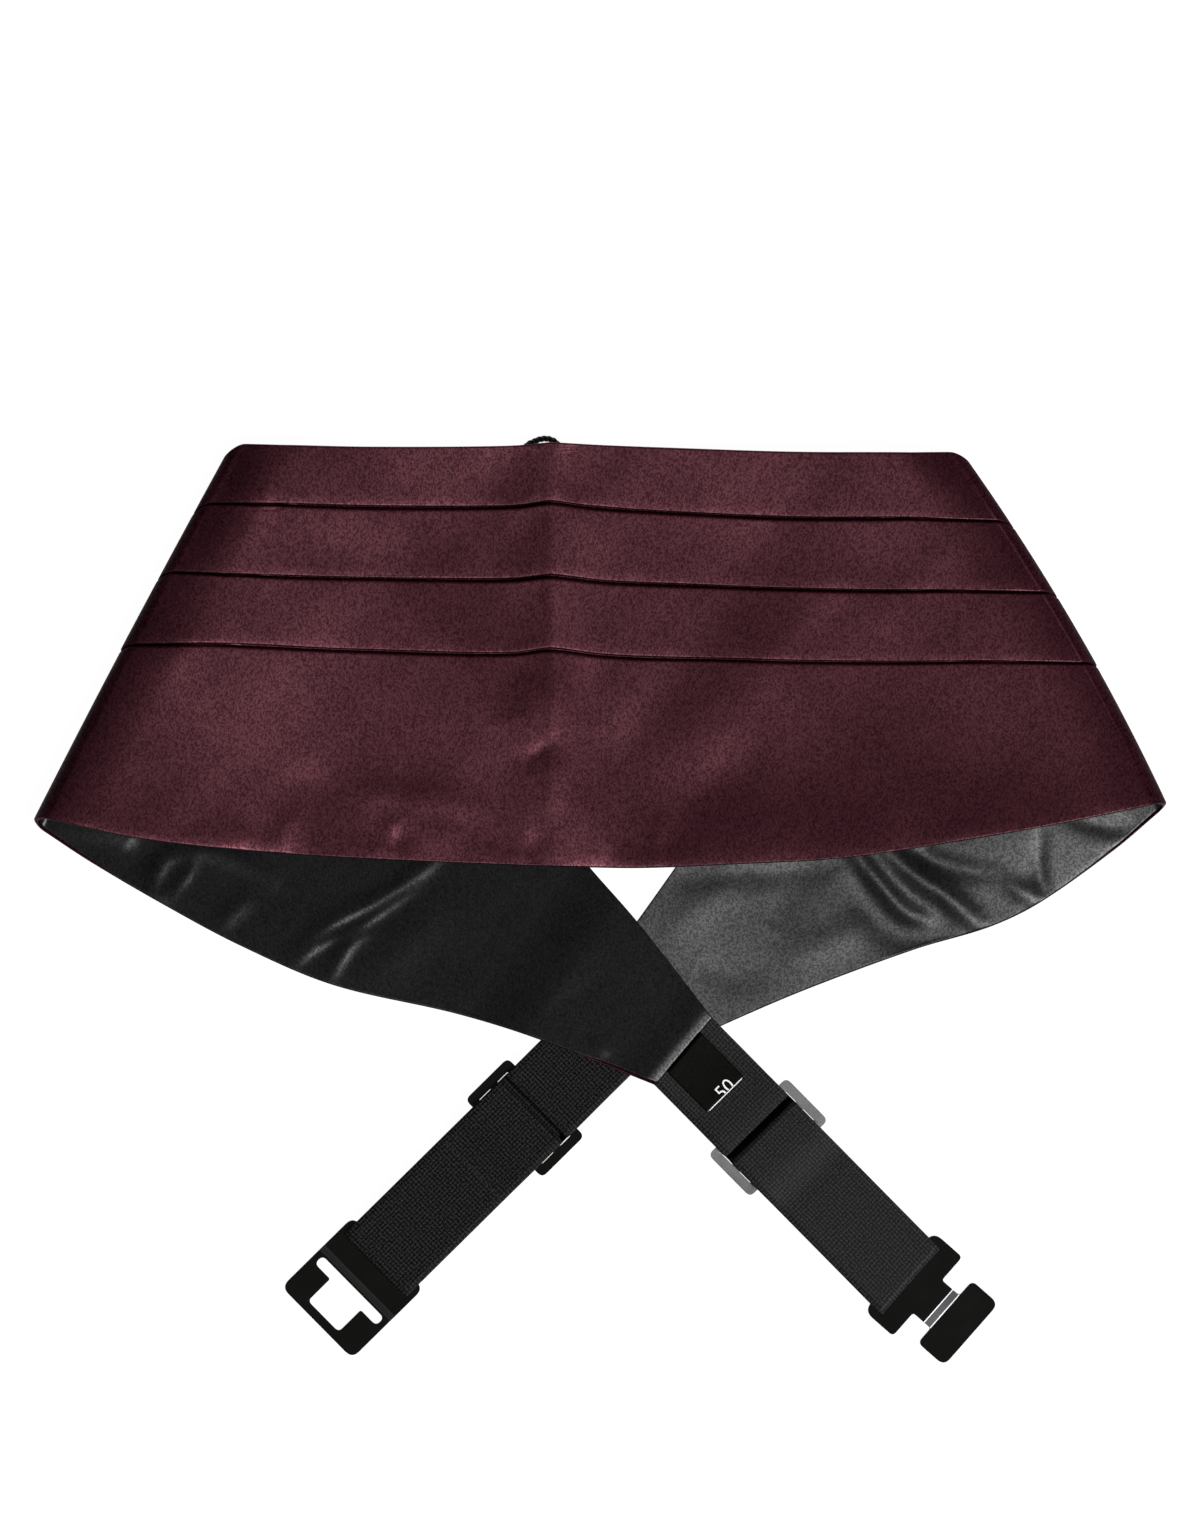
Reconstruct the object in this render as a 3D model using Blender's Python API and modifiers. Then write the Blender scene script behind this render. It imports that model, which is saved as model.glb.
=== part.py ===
"""A cummerbund laid flat: its pleated front faces up, its tails are folded under and cross.

Lengths are millimetres here and become metres when a mesh is made. X runs along the waist,
Y from the crossed tails to the top edge of the front, and Z up from the surface it lies on.
The tables measure from the middle of the drawing, and DRAWING_SHIFT then brings the middle of
the whole piece over the origin, which lies on that surface.
"""
import math
from collections import namedtuple

import bmesh
import bpy
from mathutils import Matrix, Vector

MM = 0.001
DRAWING_SHIFT = (0.244, -0.684)

# Cloth. The band's middle surface runs in the gap between its satin and its lining.
SATIN_WALL = 1.0
LINING_WALL = 1.0
GAP = 0.3
SATIN_INSIDE = GAP / 2
LINING_OUTSIDE = -GAP / 2
CLOTH = SATIN_WALL + GAP + LINING_WALL
LINING_INSET_TOP = 0.4
LINING_INSET_HEM = 0.9

# Side folds: the band turns under through half a circle.
BEND_RADIUS = 2.85
BEND_OUTER = BEND_RADIUS + SATIN_INSIDE + SATIN_WALL
ROLL_REACH = 26.0

# Levels of the middle surface over the floor.
TAIL_LEVEL = SATIN_WALL + GAP / 2
FOLD_LEVEL = TAIL_LEVEL + 2 * BEND_RADIUS
OVER_TAIL_LEVEL = CLOTH + 0.5 + LINING_WALL + GAP / 2
HOLLOW_LEVEL = 1.2 + LINING_WALL + GAP / 2
SUPPORT_MARGIN = 8.0
SUPPORT_RAMP = 26.0
CROSSING_LIFT = CLOTH + 0.5
CROSSING_MARGIN = 6.0
CROSSING_RAMP = 18.0

# Knife pleats: each free edge lies over the strip below it.
PLEAT_STEP = SATIN_WALL + GAP
PLEAT_LAP = 5.0
LAP_ENDS = (0.72, 0.94)
EDGE_MARGIN = 1.3
FLAT_MARGIN = 1.5
LIFT_ENDS = 0.8
TOP_PLEAT_MIDDLE = (0.4, 0.3)
PANEL_STEPS = 4
HEM_ROLL = 2.4
HEM_ROLL_RISE = 0.4

# Where the three pleat edges cross the band: parts of its height below the top edge, by place
# (-1 is the left fold, 0 the centre crease, 1 the right fold).
PleatRow = namedtuple("PleatRow", "place first second third")
PLEAT_ROWS = (
    PleatRow(-1.0, 0.165, 0.349, 0.542),
    PleatRow(-0.8, 0.154, 0.334, 0.510),
    PleatRow(-0.5, 0.152, 0.326, 0.502),
    PleatRow(-0.1, 0.149, 0.324, 0.501),
    PleatRow(0.0, 0.145, 0.319, 0.492),
    PleatRow(0.1, 0.152, 0.326, 0.501),
    PleatRow(0.5, 0.168, 0.344, 0.523),
    PleatRow(0.8, 0.183, 0.377, 0.566),
    PleatRow(1.0, 0.209, 0.416, 0.616),
)

# The centre crease stands up from the front, and shallow waves lie near the hem.
CREASE_X = -14.2
CREASE_HEIGHT = 1.3
CREASE_SPREAD = 10.0
Wave = namedtuple("Wave", "x y length width height")
FRONT_WAVES = (
    Wave(-32.0, 23.0, 16.0, 6.0, 0.35),
    Wave(33.0, 29.0, 15.0, 6.0, 0.35),
    Wave(82.0, 32.0, 15.0, 6.0, 0.35),
)

# Outline of each half, from the centre crease out, round the fold and along the tail.
Half = namedtuple("Half", "corner_top corner_hem bulge drop_top drop_hem round_top "
                          "front_top front_hem tail_top tail_hem")
LEFT = Half(
    corner_top=(-104.4, 129.2), corner_hem=(-160.2, 23.9), bulge=0.4,
    drop_top=4.3, drop_hem=3.75, round_top=4.2,
    front_top=((CREASE_X, 129.8), (-26.0, 128.8), (-66.0, 128.5), (-90.0, 129.0)),
    front_hem=((CREASE_X, 9.8), (-45.6, 11.0), (-73.9, 12.4), (-102.2, 14.4), (-130.5, 17.7)),
    tail_top=((-3.1, 9.3), (10.2, -5.9), (31.4, -33.1)),
    tail_hem=((-144.6, 11.0), (-123.4, -1.4), (-102.2, -12.7), (-76.1, -23.8), (-41.0, -32.0),
              (-17.8, -39.1), (15.3, -52.1)),
)
RIGHT = Half(
    corner_top=(102.3, 126.8), corner_hem=(160.0, 27.9), bulge=2.4,
    drop_top=4.6, drop_hem=3.0, round_top=3.2,
    front_top=((CREASE_X, 129.8), (0.0, 129.0), (18.0, 128.3), (53.5, 127.1), (85.0, 126.9)),
    front_hem=((CREASE_X, 9.8), (11.0, 9.3), (39.3, 10.5), (67.6, 12.1), (95.9, 16.1),
               (124.2, 20.9)),
    tail_top=((21.2, 9.6), (10.2, -5.9), (-7.1, -30.3)),
    tail_hem=((145.4, 14.4), (124.2, -0.6), (110.1, -7.4), (89.1, -13.7), (57.7, -25.3),
              (33.7, -35.6), (11.0, -46.1)),
)

# Sections from the centre crease to the fold, round it, and along the tail. The front's stand
# closer near the crease, and a bulge of the fold line fades out over parts of both stretches.
FRONT_STEPS = 11
FRONT_CROWDING = 1.15
BEND_STEPS = 8
TAIL_STEPS = 16
BULGE_START = 0.6
BULGE_END = 0.2

# Elastic straps. Each leaves its tail, dives through a slider, turns round its plate's bar,
# comes back on top of itself and is sewn round the slider's middle bar.
ELASTIC_WIDTH = 25.0
ELASTIC_WALL = 1.0
SEWN_END = 14.0
DIVE_RADIUS = 0.8
LAYER = ELASTIC_WALL + GAP
LOWER_LAYER = ELASTIC_WALL / 2
SEWN_LAYER = LOWER_LAYER + LAYER
UPPER_LAYER = SEWN_LAYER + LAYER

SLIDER_LENGTH = 16.8
SLIDER_WIDTH = 31.0
SLIDER_THICKNESS = 1.4
SLIDER_END_BAR = 2.6
SLIDER_MIDDLE_BAR = 2.4
SLIDER_FIRST_WINDOW = 4.4
SLIDER_WINDOW_WIDTH = 25.6
SLIDER_BOTTOM = 2 * LAYER
SLIDER_TOP = SLIDER_BOTTOM + SLIDER_THICKNESS
OVER_SLIDER = SLIDER_TOP + GAP + ELASTIC_WALL / 2
SLIDER_CORNER = 1.8
WINDOW_CORNER = 0.6
WRAP_INSET = 0.41
ARC_STEP = 22.5

# Plates, measured outward from the end of the doubled elastic.
PLATE_THICKNESS = 1.2
PLATE_EDGE = 0.25
PLATE_EDGE_ANGLE = 50
PLATE_CORNER = 2.8
EYE_BACK = -5.0
HOOK_BACK = -4.2
FOOT = 0.02
PLATE_SLOT = (-1.6, 0.9)
PLATE_BOTTOM = LAYER
OVER_PLATE = PLATE_BOTTOM + PLATE_THICKNESS + GAP + ELASTIC_WALL / 2
EYE_WIDTH = 28.5
EYE_LENGTH = 23.4
EYE_SLOT_WIDTH = 25.6
EYE_STEP = (5.7, 8.0)
TEE_START = 8.9
TEE_BAR = 3.1
TEE_BAR_WIDTH = 24.7
TEE_DEPTH = 11.9
TEE_STEM_WIDTH = 12.3
HOOK_BODY_WIDTH = 29.8
HOOK_BODY = 6.7
HOOK_SLOT_WIDTH = 26.0
HOOK_NECK = 13.3
HOOK_NECK_WIDTH = 12.4
HOOK_END = 23.2
HOOK_HEAD_WIDTH = 23.4
HOOK_STEP = (10.6, 13.3)

# Strap: the middle of its tail's end, that end's direction, its own heading, where its slider
# starts, how far its plate end lies, the plate's turn, and the levels of its first stretch.
Strap = namedtuple("Strap", "start edge heading slider reach turn lead")
LEFT_STRAP = Strap(start=(1.95, -38.2), edge=(18.1, -15.8), heading=224.6, slider=24.6,
                   reach=92.4, turn=0.0,
                   lead=((0.3, 1.15), (8.0, 1.2), (14.0, 1.75), (19.0, 3.2), (23.2, 4.6)))
RIGHT_STRAP = Strap(start=(23.35, -42.6), edge=(16.1, 19.0), heading=-45.4, slider=25.75,
                    reach=91.3, turn=4.1,
                    lead=((0.3, 3.95), (9.0, 3.8), (17.0, 4.1), (24.2, 4.7)))
EDGE_TURN_REACH = 18.0
PLATE_TURN_REACH = 24.0
PLATE_TURN_START = 34.0

# Size label on the right strap, next to the left tail's end.
LABEL_START = 2.0
LABEL_LENGTH = 15.0
LABEL_WIDTH = 14.6
LABEL_WALL = 1.0
LABEL_STEPS = 4

# Button loop behind the top edge: half width and distance along Y.
LOOP_CORD = 1.8
LOOP_X = -16.8
LOOP_LEVEL = 1.0
LOOP_STEPS = 22
LoopRow = namedtuple("LoopRow", "half y")
LOOP_ROWS = (
    LoopRow(1.4, 114.0),
    LoopRow(2.2, 119.0),
    LoopRow(3.4, 124.5),
    LoopRow(3.8, 127.8),
    LoopRow(3.0, 130.0),
    LoopRow(1.3, 131.05),
)


def vec2(pair):
    return Vector((pair[0], pair[1]))


def blend(a, b, t):
    return a + (b - a) * t


def smoothstep(t):
    t = min(max(t, 0.0), 1.0)
    return t * t * (3.0 - 2.0 * t)


def hermite(a, b, slope_a, slope_b, t):
    """Cubic from a to b with the given slopes over the whole step."""
    t2 = t * t
    t3 = t2 * t
    return (a * (2 * t3 - 3 * t2 + 1) + slope_a * (t3 - 2 * t2 + t)
            + b * (3 * t2 - 2 * t3) + slope_b * (t3 - t2))


def through(marks, values, mark):
    """Value at a mark on the smooth curve through the values."""
    index = 0
    while index < len(marks) - 2 and marks[index + 1] < mark:
        index += 1
    span = marks[index + 1] - marks[index]

    def slope(at):
        low = max(at - 1, 0)
        high = min(at + 1, len(marks) - 1)
        return (values[high] - values[low]) / (marks[high] - marks[low])

    return hermite(values[index], values[index + 1], slope(index) * span,
                   slope(index + 1) * span, (mark - marks[index]) / span)


def along(points, fraction):
    """The point a fraction of the way along the smooth curve through the points."""
    marks = [0.0]
    for before, after in zip(points, points[1:]):
        marks.append(marks[-1] + (after - before).length)
    return through(marks, points, fraction * marks[-1])


class Side:
    """One half of the band, with the frame of its fold line."""

    def __init__(self, half, sign):
        self.sign = sign
        self.bulge = half.bulge
        self.corner_top = vec2(half.corner_top)
        corner_hem = vec2(half.corner_hem)
        self.up = (self.corner_top - corner_hem).normalized()
        self.inward = Vector((-sign * abs(self.up.y), -abs(self.up.x)))
        top = [vec2(pair) for pair in half.front_top]
        hem = [vec2(pair) for pair in half.front_hem]
        tail_top = [vec2(pair) for pair in half.tail_top]
        tail_hem = [vec2(pair) for pair in half.tail_hem]
        self.top_turn = self.edge_turn(self.corner_top, top[-1], tail_top[0], half.drop_top,
                                       half.round_top)
        self.hem_turn = self.edge_turn(corner_hem, hem[-1], tail_hem[0], half.drop_hem, 0.0)
        self.front_top = top + [self.top_turn.start]
        self.front_hem = hem + [self.hem_turn.start]
        self.tail_top = [self.top_turn.finish] + tail_top
        self.tail_hem = [self.hem_turn.finish] + tail_hem
        run = (self.tail_top[-1] - self.tail_top[0]).normalized()
        self.tail_inside = Vector((sign * -run.y, sign * run.x))

    def edge_turn(self, corner, front_point, tail_point, drop, cut):
        """How an edge of the band crosses the fold: its start, finish and slopes."""
        run_in = (front_point - corner).normalized()
        start = corner + run_in * (BEND_OUTER / run_in.dot(self.inward))
        finish = start - self.up * drop
        run_out = (tail_point - finish).normalized()
        arc = math.pi * BEND_RADIUS
        slope_in = -run_in.dot(self.up) / run_in.dot(self.inward) * arc
        slope_out = run_out.dot(self.up) / run_out.dot(self.inward) * arc
        return Turn(start, finish, drop, cut, slope_in, slope_out)

    def inset(self, point, part):
        """Distance in from the line where the fold begins."""
        bulge = self.bulge * 4 * part * (1 - part)
        return (point - self.corner_top).dot(self.inward) + bulge - BEND_OUTER

    def over_tail(self, point):
        """Distance inside the upper edge of this side's tail; negative beyond it."""
        return (point - self.tail_top[-1]).dot(self.tail_inside)


Turn = namedtuple("Turn", "start finish drop cut slope_in slope_out")
Station = namedtuple("Station", "top hem bulge level out lift lap marks")


def front_level(point, part, side):
    """Height of the front's middle surface: on the tails, in the hollow, up to the fold."""
    rest = max(smoothstep((half.over_tail(point) + SUPPORT_MARGIN + SUPPORT_RAMP) / SUPPORT_RAMP)
               for half in (LEFT_SIDE, RIGHT_SIDE))
    lying = blend(HOLLOW_LEVEL, OVER_TAIL_LEVEL, rest)
    across = (point.x - CREASE_X) / CREASE_SPREAD
    lying += CREASE_HEIGHT * math.exp(-0.5 * across * across)
    for wave in FRONT_WAVES:
        reach = ((point.x - wave.x) / wave.length) ** 2 + ((point.y - wave.y) / wave.width) ** 2
        lying += wave.height * math.exp(-0.5 * reach)
    roll = 1.0 - smoothstep(side.inset(point, part) / ROLL_REACH)
    return blend(lying, FOLD_LEVEL, roll)


def tail_level(point, part, side):
    """Height of a tail's middle surface; the left tail climbs over the right one's end."""
    if side is RIGHT_SIDE:
        return TAIL_LEVEL
    near = (RIGHT_SIDE.over_tail(point) + CROSSING_MARGIN + CROSSING_RAMP) / CROSSING_RAMP
    return TAIL_LEVEL + CROSSING_LIFT * smoothstep(near)


def pleat_marks(place):
    places = [row.place for row in PLEAT_ROWS]
    return [through(places, [row[column] for row in PLEAT_ROWS], place) for column in (1, 2, 3)]


def front_station(side, step):
    """Section a number of steps out from the centre crease."""
    place = (step / FRONT_STEPS) ** FRONT_CROWDING
    ends = (place - LAP_ENDS[0]) / (LAP_ENDS[1] - LAP_ENDS[0])
    return Station(
        top=along(side.front_top, place),
        hem=along(side.front_hem, place),
        bulge=-side.inward * side.bulge * smoothstep((place - BULGE_START) / (1 - BULGE_START)),
        level=lambda point, part: front_level(point, part, side),
        out=Vector((0.0, 0.0, 1.0)),
        lift=1.0,
        lap=blend(PLEAT_LAP, -GAP, smoothstep(ends)),
        marks=pleat_marks(side.sign * place))


def bend_station(side, step):
    """Section turned part of the way round the side fold."""
    turned = step / BEND_STEPS
    angle = math.pi * turned
    ends = []
    for edge in (side.top_turn, side.hem_turn):
        slide = hermite(0.0, -edge.drop, edge.slope_in, edge.slope_out, turned)
        slide -= edge.cut * math.sin(angle) ** 2
        ends.append(edge.start + side.up * slide - side.inward * BEND_RADIUS * math.sin(angle))
    level = TAIL_LEVEL + BEND_RADIUS * (1 + math.cos(angle))
    outward = -side.inward * math.sin(angle)
    return Station(
        top=ends[0],
        hem=ends[1],
        bulge=-side.inward * side.bulge,
        level=lambda point, part: level,
        out=Vector((outward.x, outward.y, math.cos(angle))),
        lift=1.0 - smoothstep(turned / LIFT_ENDS),
        lap=-GAP,
        marks=pleat_marks(side.sign))


def tail_station(side, step):
    """Section along the tail, from the fold to its end."""
    place = step / TAIL_STEPS
    return Station(
        top=along(side.tail_top, place),
        hem=along(side.tail_hem, place),
        bulge=-side.inward * side.bulge * (1 - smoothstep(place / BULGE_END)),
        level=lambda point, part: tail_level(point, part, side),
        out=Vector((0.0, 0.0, -1.0)),
        lift=0.0,
        lap=-GAP,
        marks=pleat_marks(side.sign))


def half_band(side):
    """Sections of one half, from the centre crease out to the end of the tail."""
    sections = [front_station(side, step) for step in range(1, FRONT_STEPS + 1)]
    sections += [bend_station(side, step) for step in range(1, BEND_STEPS + 1)]
    sections += [tail_station(side, step) for step in range(1, TAIL_STEPS + 1)]
    return sections


def band_stations():
    """All sections, from the end of the left tail to the end of the right one."""
    return half_band(LEFT_SIDE)[::-1] + [front_station(RIGHT_SIDE, 0)] + half_band(RIGHT_SIDE)


def band_point(station, part, offset):
    """A point a part of the way down a section, moved out of the middle surface."""
    flat = blend(station.top, station.hem, part) + station.bulge * (4 * part * (1 - part))
    return Vector((flat.x, flat.y, station.level(flat, part))) + station.out * offset


def strip_rows(station, index):
    """(part, lift) pairs across one strip of the satin, from its upper edge to its lower one."""
    height = (station.top - station.hem).length
    lap = station.lap / height
    full = PLEAT_STEP * station.lift
    flat = (max(station.lap, 0.0) + FLAT_MARGIN) / height
    if index == 0:
        lower = station.marks[0]
        part, rise = TOP_PLEAT_MIDDLE
        return [(0.0, 0.0), (part * lower, rise * full), (lower - flat, full), (lower, full)]
    upper = station.marks[index - 1]
    start = upper - lap
    clear = start + (station.lap + GAP + EDGE_MARGIN) / height
    if index < len(station.marks):
        lower = station.marks[index]
        return [(start, 0.0), (clear, 0.0), (lower - flat, full), (lower, full)]
    roll = HEM_ROLL / height
    rise = HEM_ROLL_RISE * station.lift
    rows = [(start, 0.0), (clear, 0.0)]
    rows += [(blend(clear, 1 - roll, step / PANEL_STEPS), 0.0)
             for step in range(1, PANEL_STEPS + 1)]
    return rows + [(1.0, rise)]


def lining_rows(station):
    """Parts across the lining, at the same places as the satin's."""
    height = (station.top - station.hem).length
    parts = [LINING_INSET_TOP / height]
    for index in range(len(station.marks)):
        rows = strip_rows(station, index)
        parts += [rows[2][0], rows[3][0]]
    panel = strip_rows(station, len(station.marks))
    parts += [row[0] for row in panel[2:1 + PANEL_STEPS]]
    return parts + [1 - LINING_INSET_HEM / height]


def satin_rings(stations, index):
    rings = []
    for station in stations:
        rows = strip_rows(station, index)
        inner = [band_point(station, part, SATIN_INSIDE + lift) for part, lift in rows]
        outer = [band_point(station, part, SATIN_INSIDE + SATIN_WALL + lift)
                 for part, lift in rows]
        rings.append((outer, inner))
    return rings


def lining_rings(stations):
    rings = []
    for station in stations:
        parts = lining_rows(station)
        near = [band_point(station, part, LINING_OUTSIDE) for part in parts]
        far = [band_point(station, part, LINING_OUTSIDE - LINING_WALL) for part in parts]
        rings.append((near, far))
    return rings


class Course:
    """The course of one strap over the floor."""

    def __init__(self, strap):
        self.strap = strap
        heading = math.radians(strap.heading)
        self.along = Vector((math.cos(heading), math.sin(heading), 0.0))
        self.across = Vector((-self.along.y, self.along.x, 0.0))
        self.start = Vector((strap.start[0], strap.start[1], 0.0))
        edge = Vector((strap.edge[0], strap.edge[1], 0.0))
        self.edge_slant = edge.dot(self.along) / edge.dot(self.across)
        self.plate_slant = -math.tan(math.radians(strap.turn))

    def slant(self, distance):
        """How far the strap's cross line leans: square to the tail's end, then to the plate."""
        leaving = 1.0 - smoothstep(distance / EDGE_TURN_REACH)
        arriving = distance - (self.strap.reach - PLATE_TURN_START)
        return (self.edge_slant * leaving
                + self.plate_slant * smoothstep(arriving / PLATE_TURN_REACH))

    def point(self, distance, across, level):
        run = distance + across * self.slant(distance)
        flat = self.start + self.along * run + self.across * across
        return Vector((flat.x, flat.y, level))

    def lead(self, fraction):
        """The strap's middle line on its way from the tail up onto the slider."""
        return along([vec2(row) for row in self.strap.lead], fraction)


def arc(centre, level, radius, start, finish):
    steps = max(2, round(abs(finish - start) / ARC_STEP))
    points = []
    for step in range(steps + 1):
        angle = math.radians(blend(start, finish, step / steps))
        points.append(Vector((centre + radius * math.cos(angle),
                              level + radius * math.sin(angle))))
    return points


def stretch(rows, steps):
    """Points on the smooth curve through the rows, without its two ends."""
    points = [vec2(row) for row in rows]
    return [along(points, step / steps) for step in range(1, steps)]


def elastic_path(course):
    """Middle line of the elastic, as distance and level, from its tail to its sewn end."""
    strap = course.strap
    first_bar = strap.slider + SLIDER_END_BAR
    dive_end = first_bar + 2 * DIVE_RADIUS
    plate_turn = (OVER_PLATE - LOWER_LAYER) / 2
    plate_middle = (OVER_PLATE + LOWER_LAYER) / 2
    plate_centre = strap.reach - plate_turn - ELASTIC_WALL / 2
    wrap_turn = (OVER_SLIDER - SEWN_LAYER) / 2
    wrap_middle = (OVER_SLIDER + SEWN_LAYER) / 2
    wrap_centre = first_bar + SLIDER_FIRST_WINDOW + WRAP_INSET
    slider_end = strap.slider + SLIDER_LENGTH
    sewn_end = slider_end + SEWN_END
    path = [course.lead(step / 8) for step in range(9)]
    path += arc(first_bar, SLIDER_TOP, DIVE_RADIUS, 90, 0)
    path += arc(dive_end, LOWER_LAYER + DIVE_RADIUS, DIVE_RADIUS, 180, 270)
    path += stretch([(dive_end, LOWER_LAYER), (plate_centre, LOWER_LAYER)], 8)
    path += arc(plate_centre, plate_middle, plate_turn, -90, 90)
    path += stretch([(plate_centre, OVER_PLATE), (plate_centre - 4.0, OVER_PLATE),
                     (sewn_end, UPPER_LAYER), (slider_end + 8.0, UPPER_LAYER),
                     (slider_end + 0.4, OVER_SLIDER), (wrap_centre, OVER_SLIDER)], 14)
    path += arc(wrap_centre, wrap_middle, wrap_turn, 90, 270)
    return path + [Vector((blend(wrap_centre, sewn_end, step / 3), SEWN_LAYER))
                   for step in range(1, 4)]


def elastic_rings(course):
    path = elastic_path(course)
    half_width = ELASTIC_WIDTH / 2
    half_wall = ELASTIC_WALL / 2
    rings = []
    for at, middle in enumerate(path):
        run = path[min(at + 1, len(path) - 1)] - path[max(at - 1, 0)]
        side = Vector((-run.y, run.x)).normalized() * half_wall
        faces = []
        for edge in (middle + side, middle - side):
            faces.append([course.point(edge.x, across, edge.y)
                          for across in (-half_width, half_width)])
        rings.append(faces)
    return rings


def label_rings(course):
    """The folded label, made from the strap's points moved up."""
    rings = []
    lead_end = course.strap.lead[-1][0]
    for step in range(LABEL_STEPS + 1):
        distance = LABEL_START + LABEL_LENGTH * step / LABEL_STEPS
        level = course.lead(distance / lead_end).y + ELASTIC_WALL / 2 + GAP
        faces = []
        for height in (level + LABEL_WALL, level):
            faces.append([course.point(distance, across, height)
                          for across in (-LABEL_WIDTH / 2, LABEL_WIDTH / 2)])
        rings.append(faces)
    return rings


def linear(channel):
    return channel / 12.92 if channel <= 0.04045 else ((channel + 0.055) / 1.055) ** 2.4


def material(name, colour, roughness, metallic=0.0):
    """Principled material from an sRGB hex colour."""
    made = bpy.data.materials.new(name)
    made.use_nodes = True
    shader = made.node_tree.nodes["Principled BSDF"]
    red, green, blue = (int(colour[at:at + 2], 16) / 255 for at in (0, 2, 4))
    shader.inputs["Base Color"].default_value = (linear(red), linear(green), linear(blue), 1.0)
    shader.inputs["Roughness"].default_value = roughness
    shader.inputs["Metallic"].default_value = metallic
    return made


def add_object(name, data, finish):
    data.materials.append(finish)
    made = bpy.data.objects.new(name, data)
    PARTS.objects.link(made)
    made.parent = MIDDLE
    return made


def cloth_wall(name, rings, finish):
    """Closed wall lofted through rings, each its outer points and its inner points."""
    shape = bmesh.new()
    sheets = [[[shape.verts.new(point * MM) for point in face] for face in ring]
              for ring in rings]
    for (outer_a, inner_a), (outer_b, inner_b) in zip(sheets, sheets[1:]):
        for at in range(len(outer_a) - 1):
            shape.faces.new((outer_a[at], outer_a[at + 1], outer_b[at + 1], outer_b[at]))
            shape.faces.new((inner_a[at], inner_b[at], inner_b[at + 1], inner_a[at + 1]))
        for at in (0, -1):
            shape.faces.new((outer_a[at], outer_b[at], inner_b[at], inner_a[at]))
    for outer, inner in (sheets[0], sheets[-1]):
        for at in range(len(outer) - 1):
            shape.faces.new((outer[at], outer[at + 1], inner[at + 1], inner[at]))
    bmesh.ops.recalc_face_normals(shape, faces=shape.faces)
    mesh = bpy.data.meshes.new(name)
    shape.to_mesh(mesh)
    shape.free()
    mesh.shade_smooth()
    mesh.set_sharp_from_angle(angle=math.radians(35))
    return add_object(name, mesh, finish)


def rounded(corners, steps=3):
    """Outline through (x, y, radius) corners, each replaced by a short curve."""
    outline = []
    for at, (x, y, radius) in enumerate(corners):
        corner = Vector((x, y))
        before = (vec2(corners[at - 1]) - corner).normalized() * radius
        after = (vec2(corners[(at + 1) % len(corners)]) - corner).normalized() * radius
        for step in range(steps + 1):
            t = step / steps
            outline.append(corner + before * (1 - t) ** 2 + after * t ** 2)
    return outline


def box_outline(x_low, x_high, width, radius):
    half = width / 2
    return rounded([(x_low, -half, radius), (x_high, -half, radius),
                    (x_high, half, radius), (x_low, half, radius)])


def flat_metal(name, outlines, thickness, finish, step=None, drop=0.0):
    """A blanked plate with holes; its outer part can step down between two lines."""
    curve = bpy.data.curves.new(name + "_outline", "CURVE")
    curve.dimensions = "2D"
    curve.fill_mode = "BOTH"
    curve.extrude = thickness / 2 * MM
    for outline in outlines:
        spline = curve.splines.new("POLY")
        spline.points.add(len(outline) - 1)
        for point, place in zip(spline.points, outline):
            point.co = (place.x * MM, place.y * MM, 0.0, 1.0)
        spline.use_cyclic_u = True
    guide = bpy.data.objects.new(name + "_outline", curve)
    PARTS.objects.link(guide)
    depsgraph = bpy.context.evaluated_depsgraph_get()
    mesh = bpy.data.meshes.new_from_object(guide.evaluated_get(depsgraph))
    bpy.data.objects.remove(guide, do_unlink=True)
    shape = bmesh.new()
    shape.from_mesh(mesh)
    bmesh.ops.remove_doubles(shape, verts=shape.verts, dist=0.00001)
    if step:
        for line in step:
            bmesh.ops.bisect_plane(shape, geom=shape.verts[:] + shape.edges[:] + shape.faces[:],
                                   dist=0.000001, plane_co=(line * MM, 0.0, 0.0),
                                   plane_no=(1.0, 0.0, 0.0))
        for corner in shape.verts:
            part = (corner.co.x / MM - step[0]) / (step[1] - step[0])
            corner.co.z -= drop * MM * min(max(part, 0.0), 1.0)
    bmesh.ops.recalc_face_normals(shape, faces=shape.faces)
    shape.to_mesh(mesh)
    shape.free()
    mesh.name = name
    mesh.materials.clear()
    made = add_object(name, mesh, finish)
    edge = made.modifiers.new("Edge", "BEVEL")
    edge.width = PLATE_EDGE * MM
    edge.segments = 1
    edge.limit_method = "ANGLE"
    edge.angle_limit = math.radians(PLATE_EDGE_ANGLE)
    return made


def place(made, course, distance, level, turn=0.0):
    """Put a plate on a strap's course, with its X axis outward."""
    spot = course.point(distance, 0.0, level)
    made.location = spot * MM
    made.rotation_euler = (0.0, 0.0, math.radians(course.strap.heading + turn))


def slider(name, course, finish):
    """Three-bar slider; its end bars are hidden or crossed by the elastic."""
    first = SLIDER_END_BAR + SLIDER_FIRST_WINDOW
    second = first + SLIDER_MIDDLE_BAR
    outlines = [box_outline(0.0, SLIDER_LENGTH, SLIDER_WIDTH, SLIDER_CORNER),
                box_outline(SLIDER_END_BAR, first, SLIDER_WINDOW_WIDTH, WINDOW_CORNER),
                box_outline(second, SLIDER_LENGTH - SLIDER_END_BAR, SLIDER_WINDOW_WIDTH,
                            WINDOW_CORNER)]
    made = flat_metal(name, outlines, SLIDER_THICKNESS, finish)
    place(made, course, course.strap.slider, SLIDER_BOTTOM + SLIDER_THICKNESS / 2)


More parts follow.
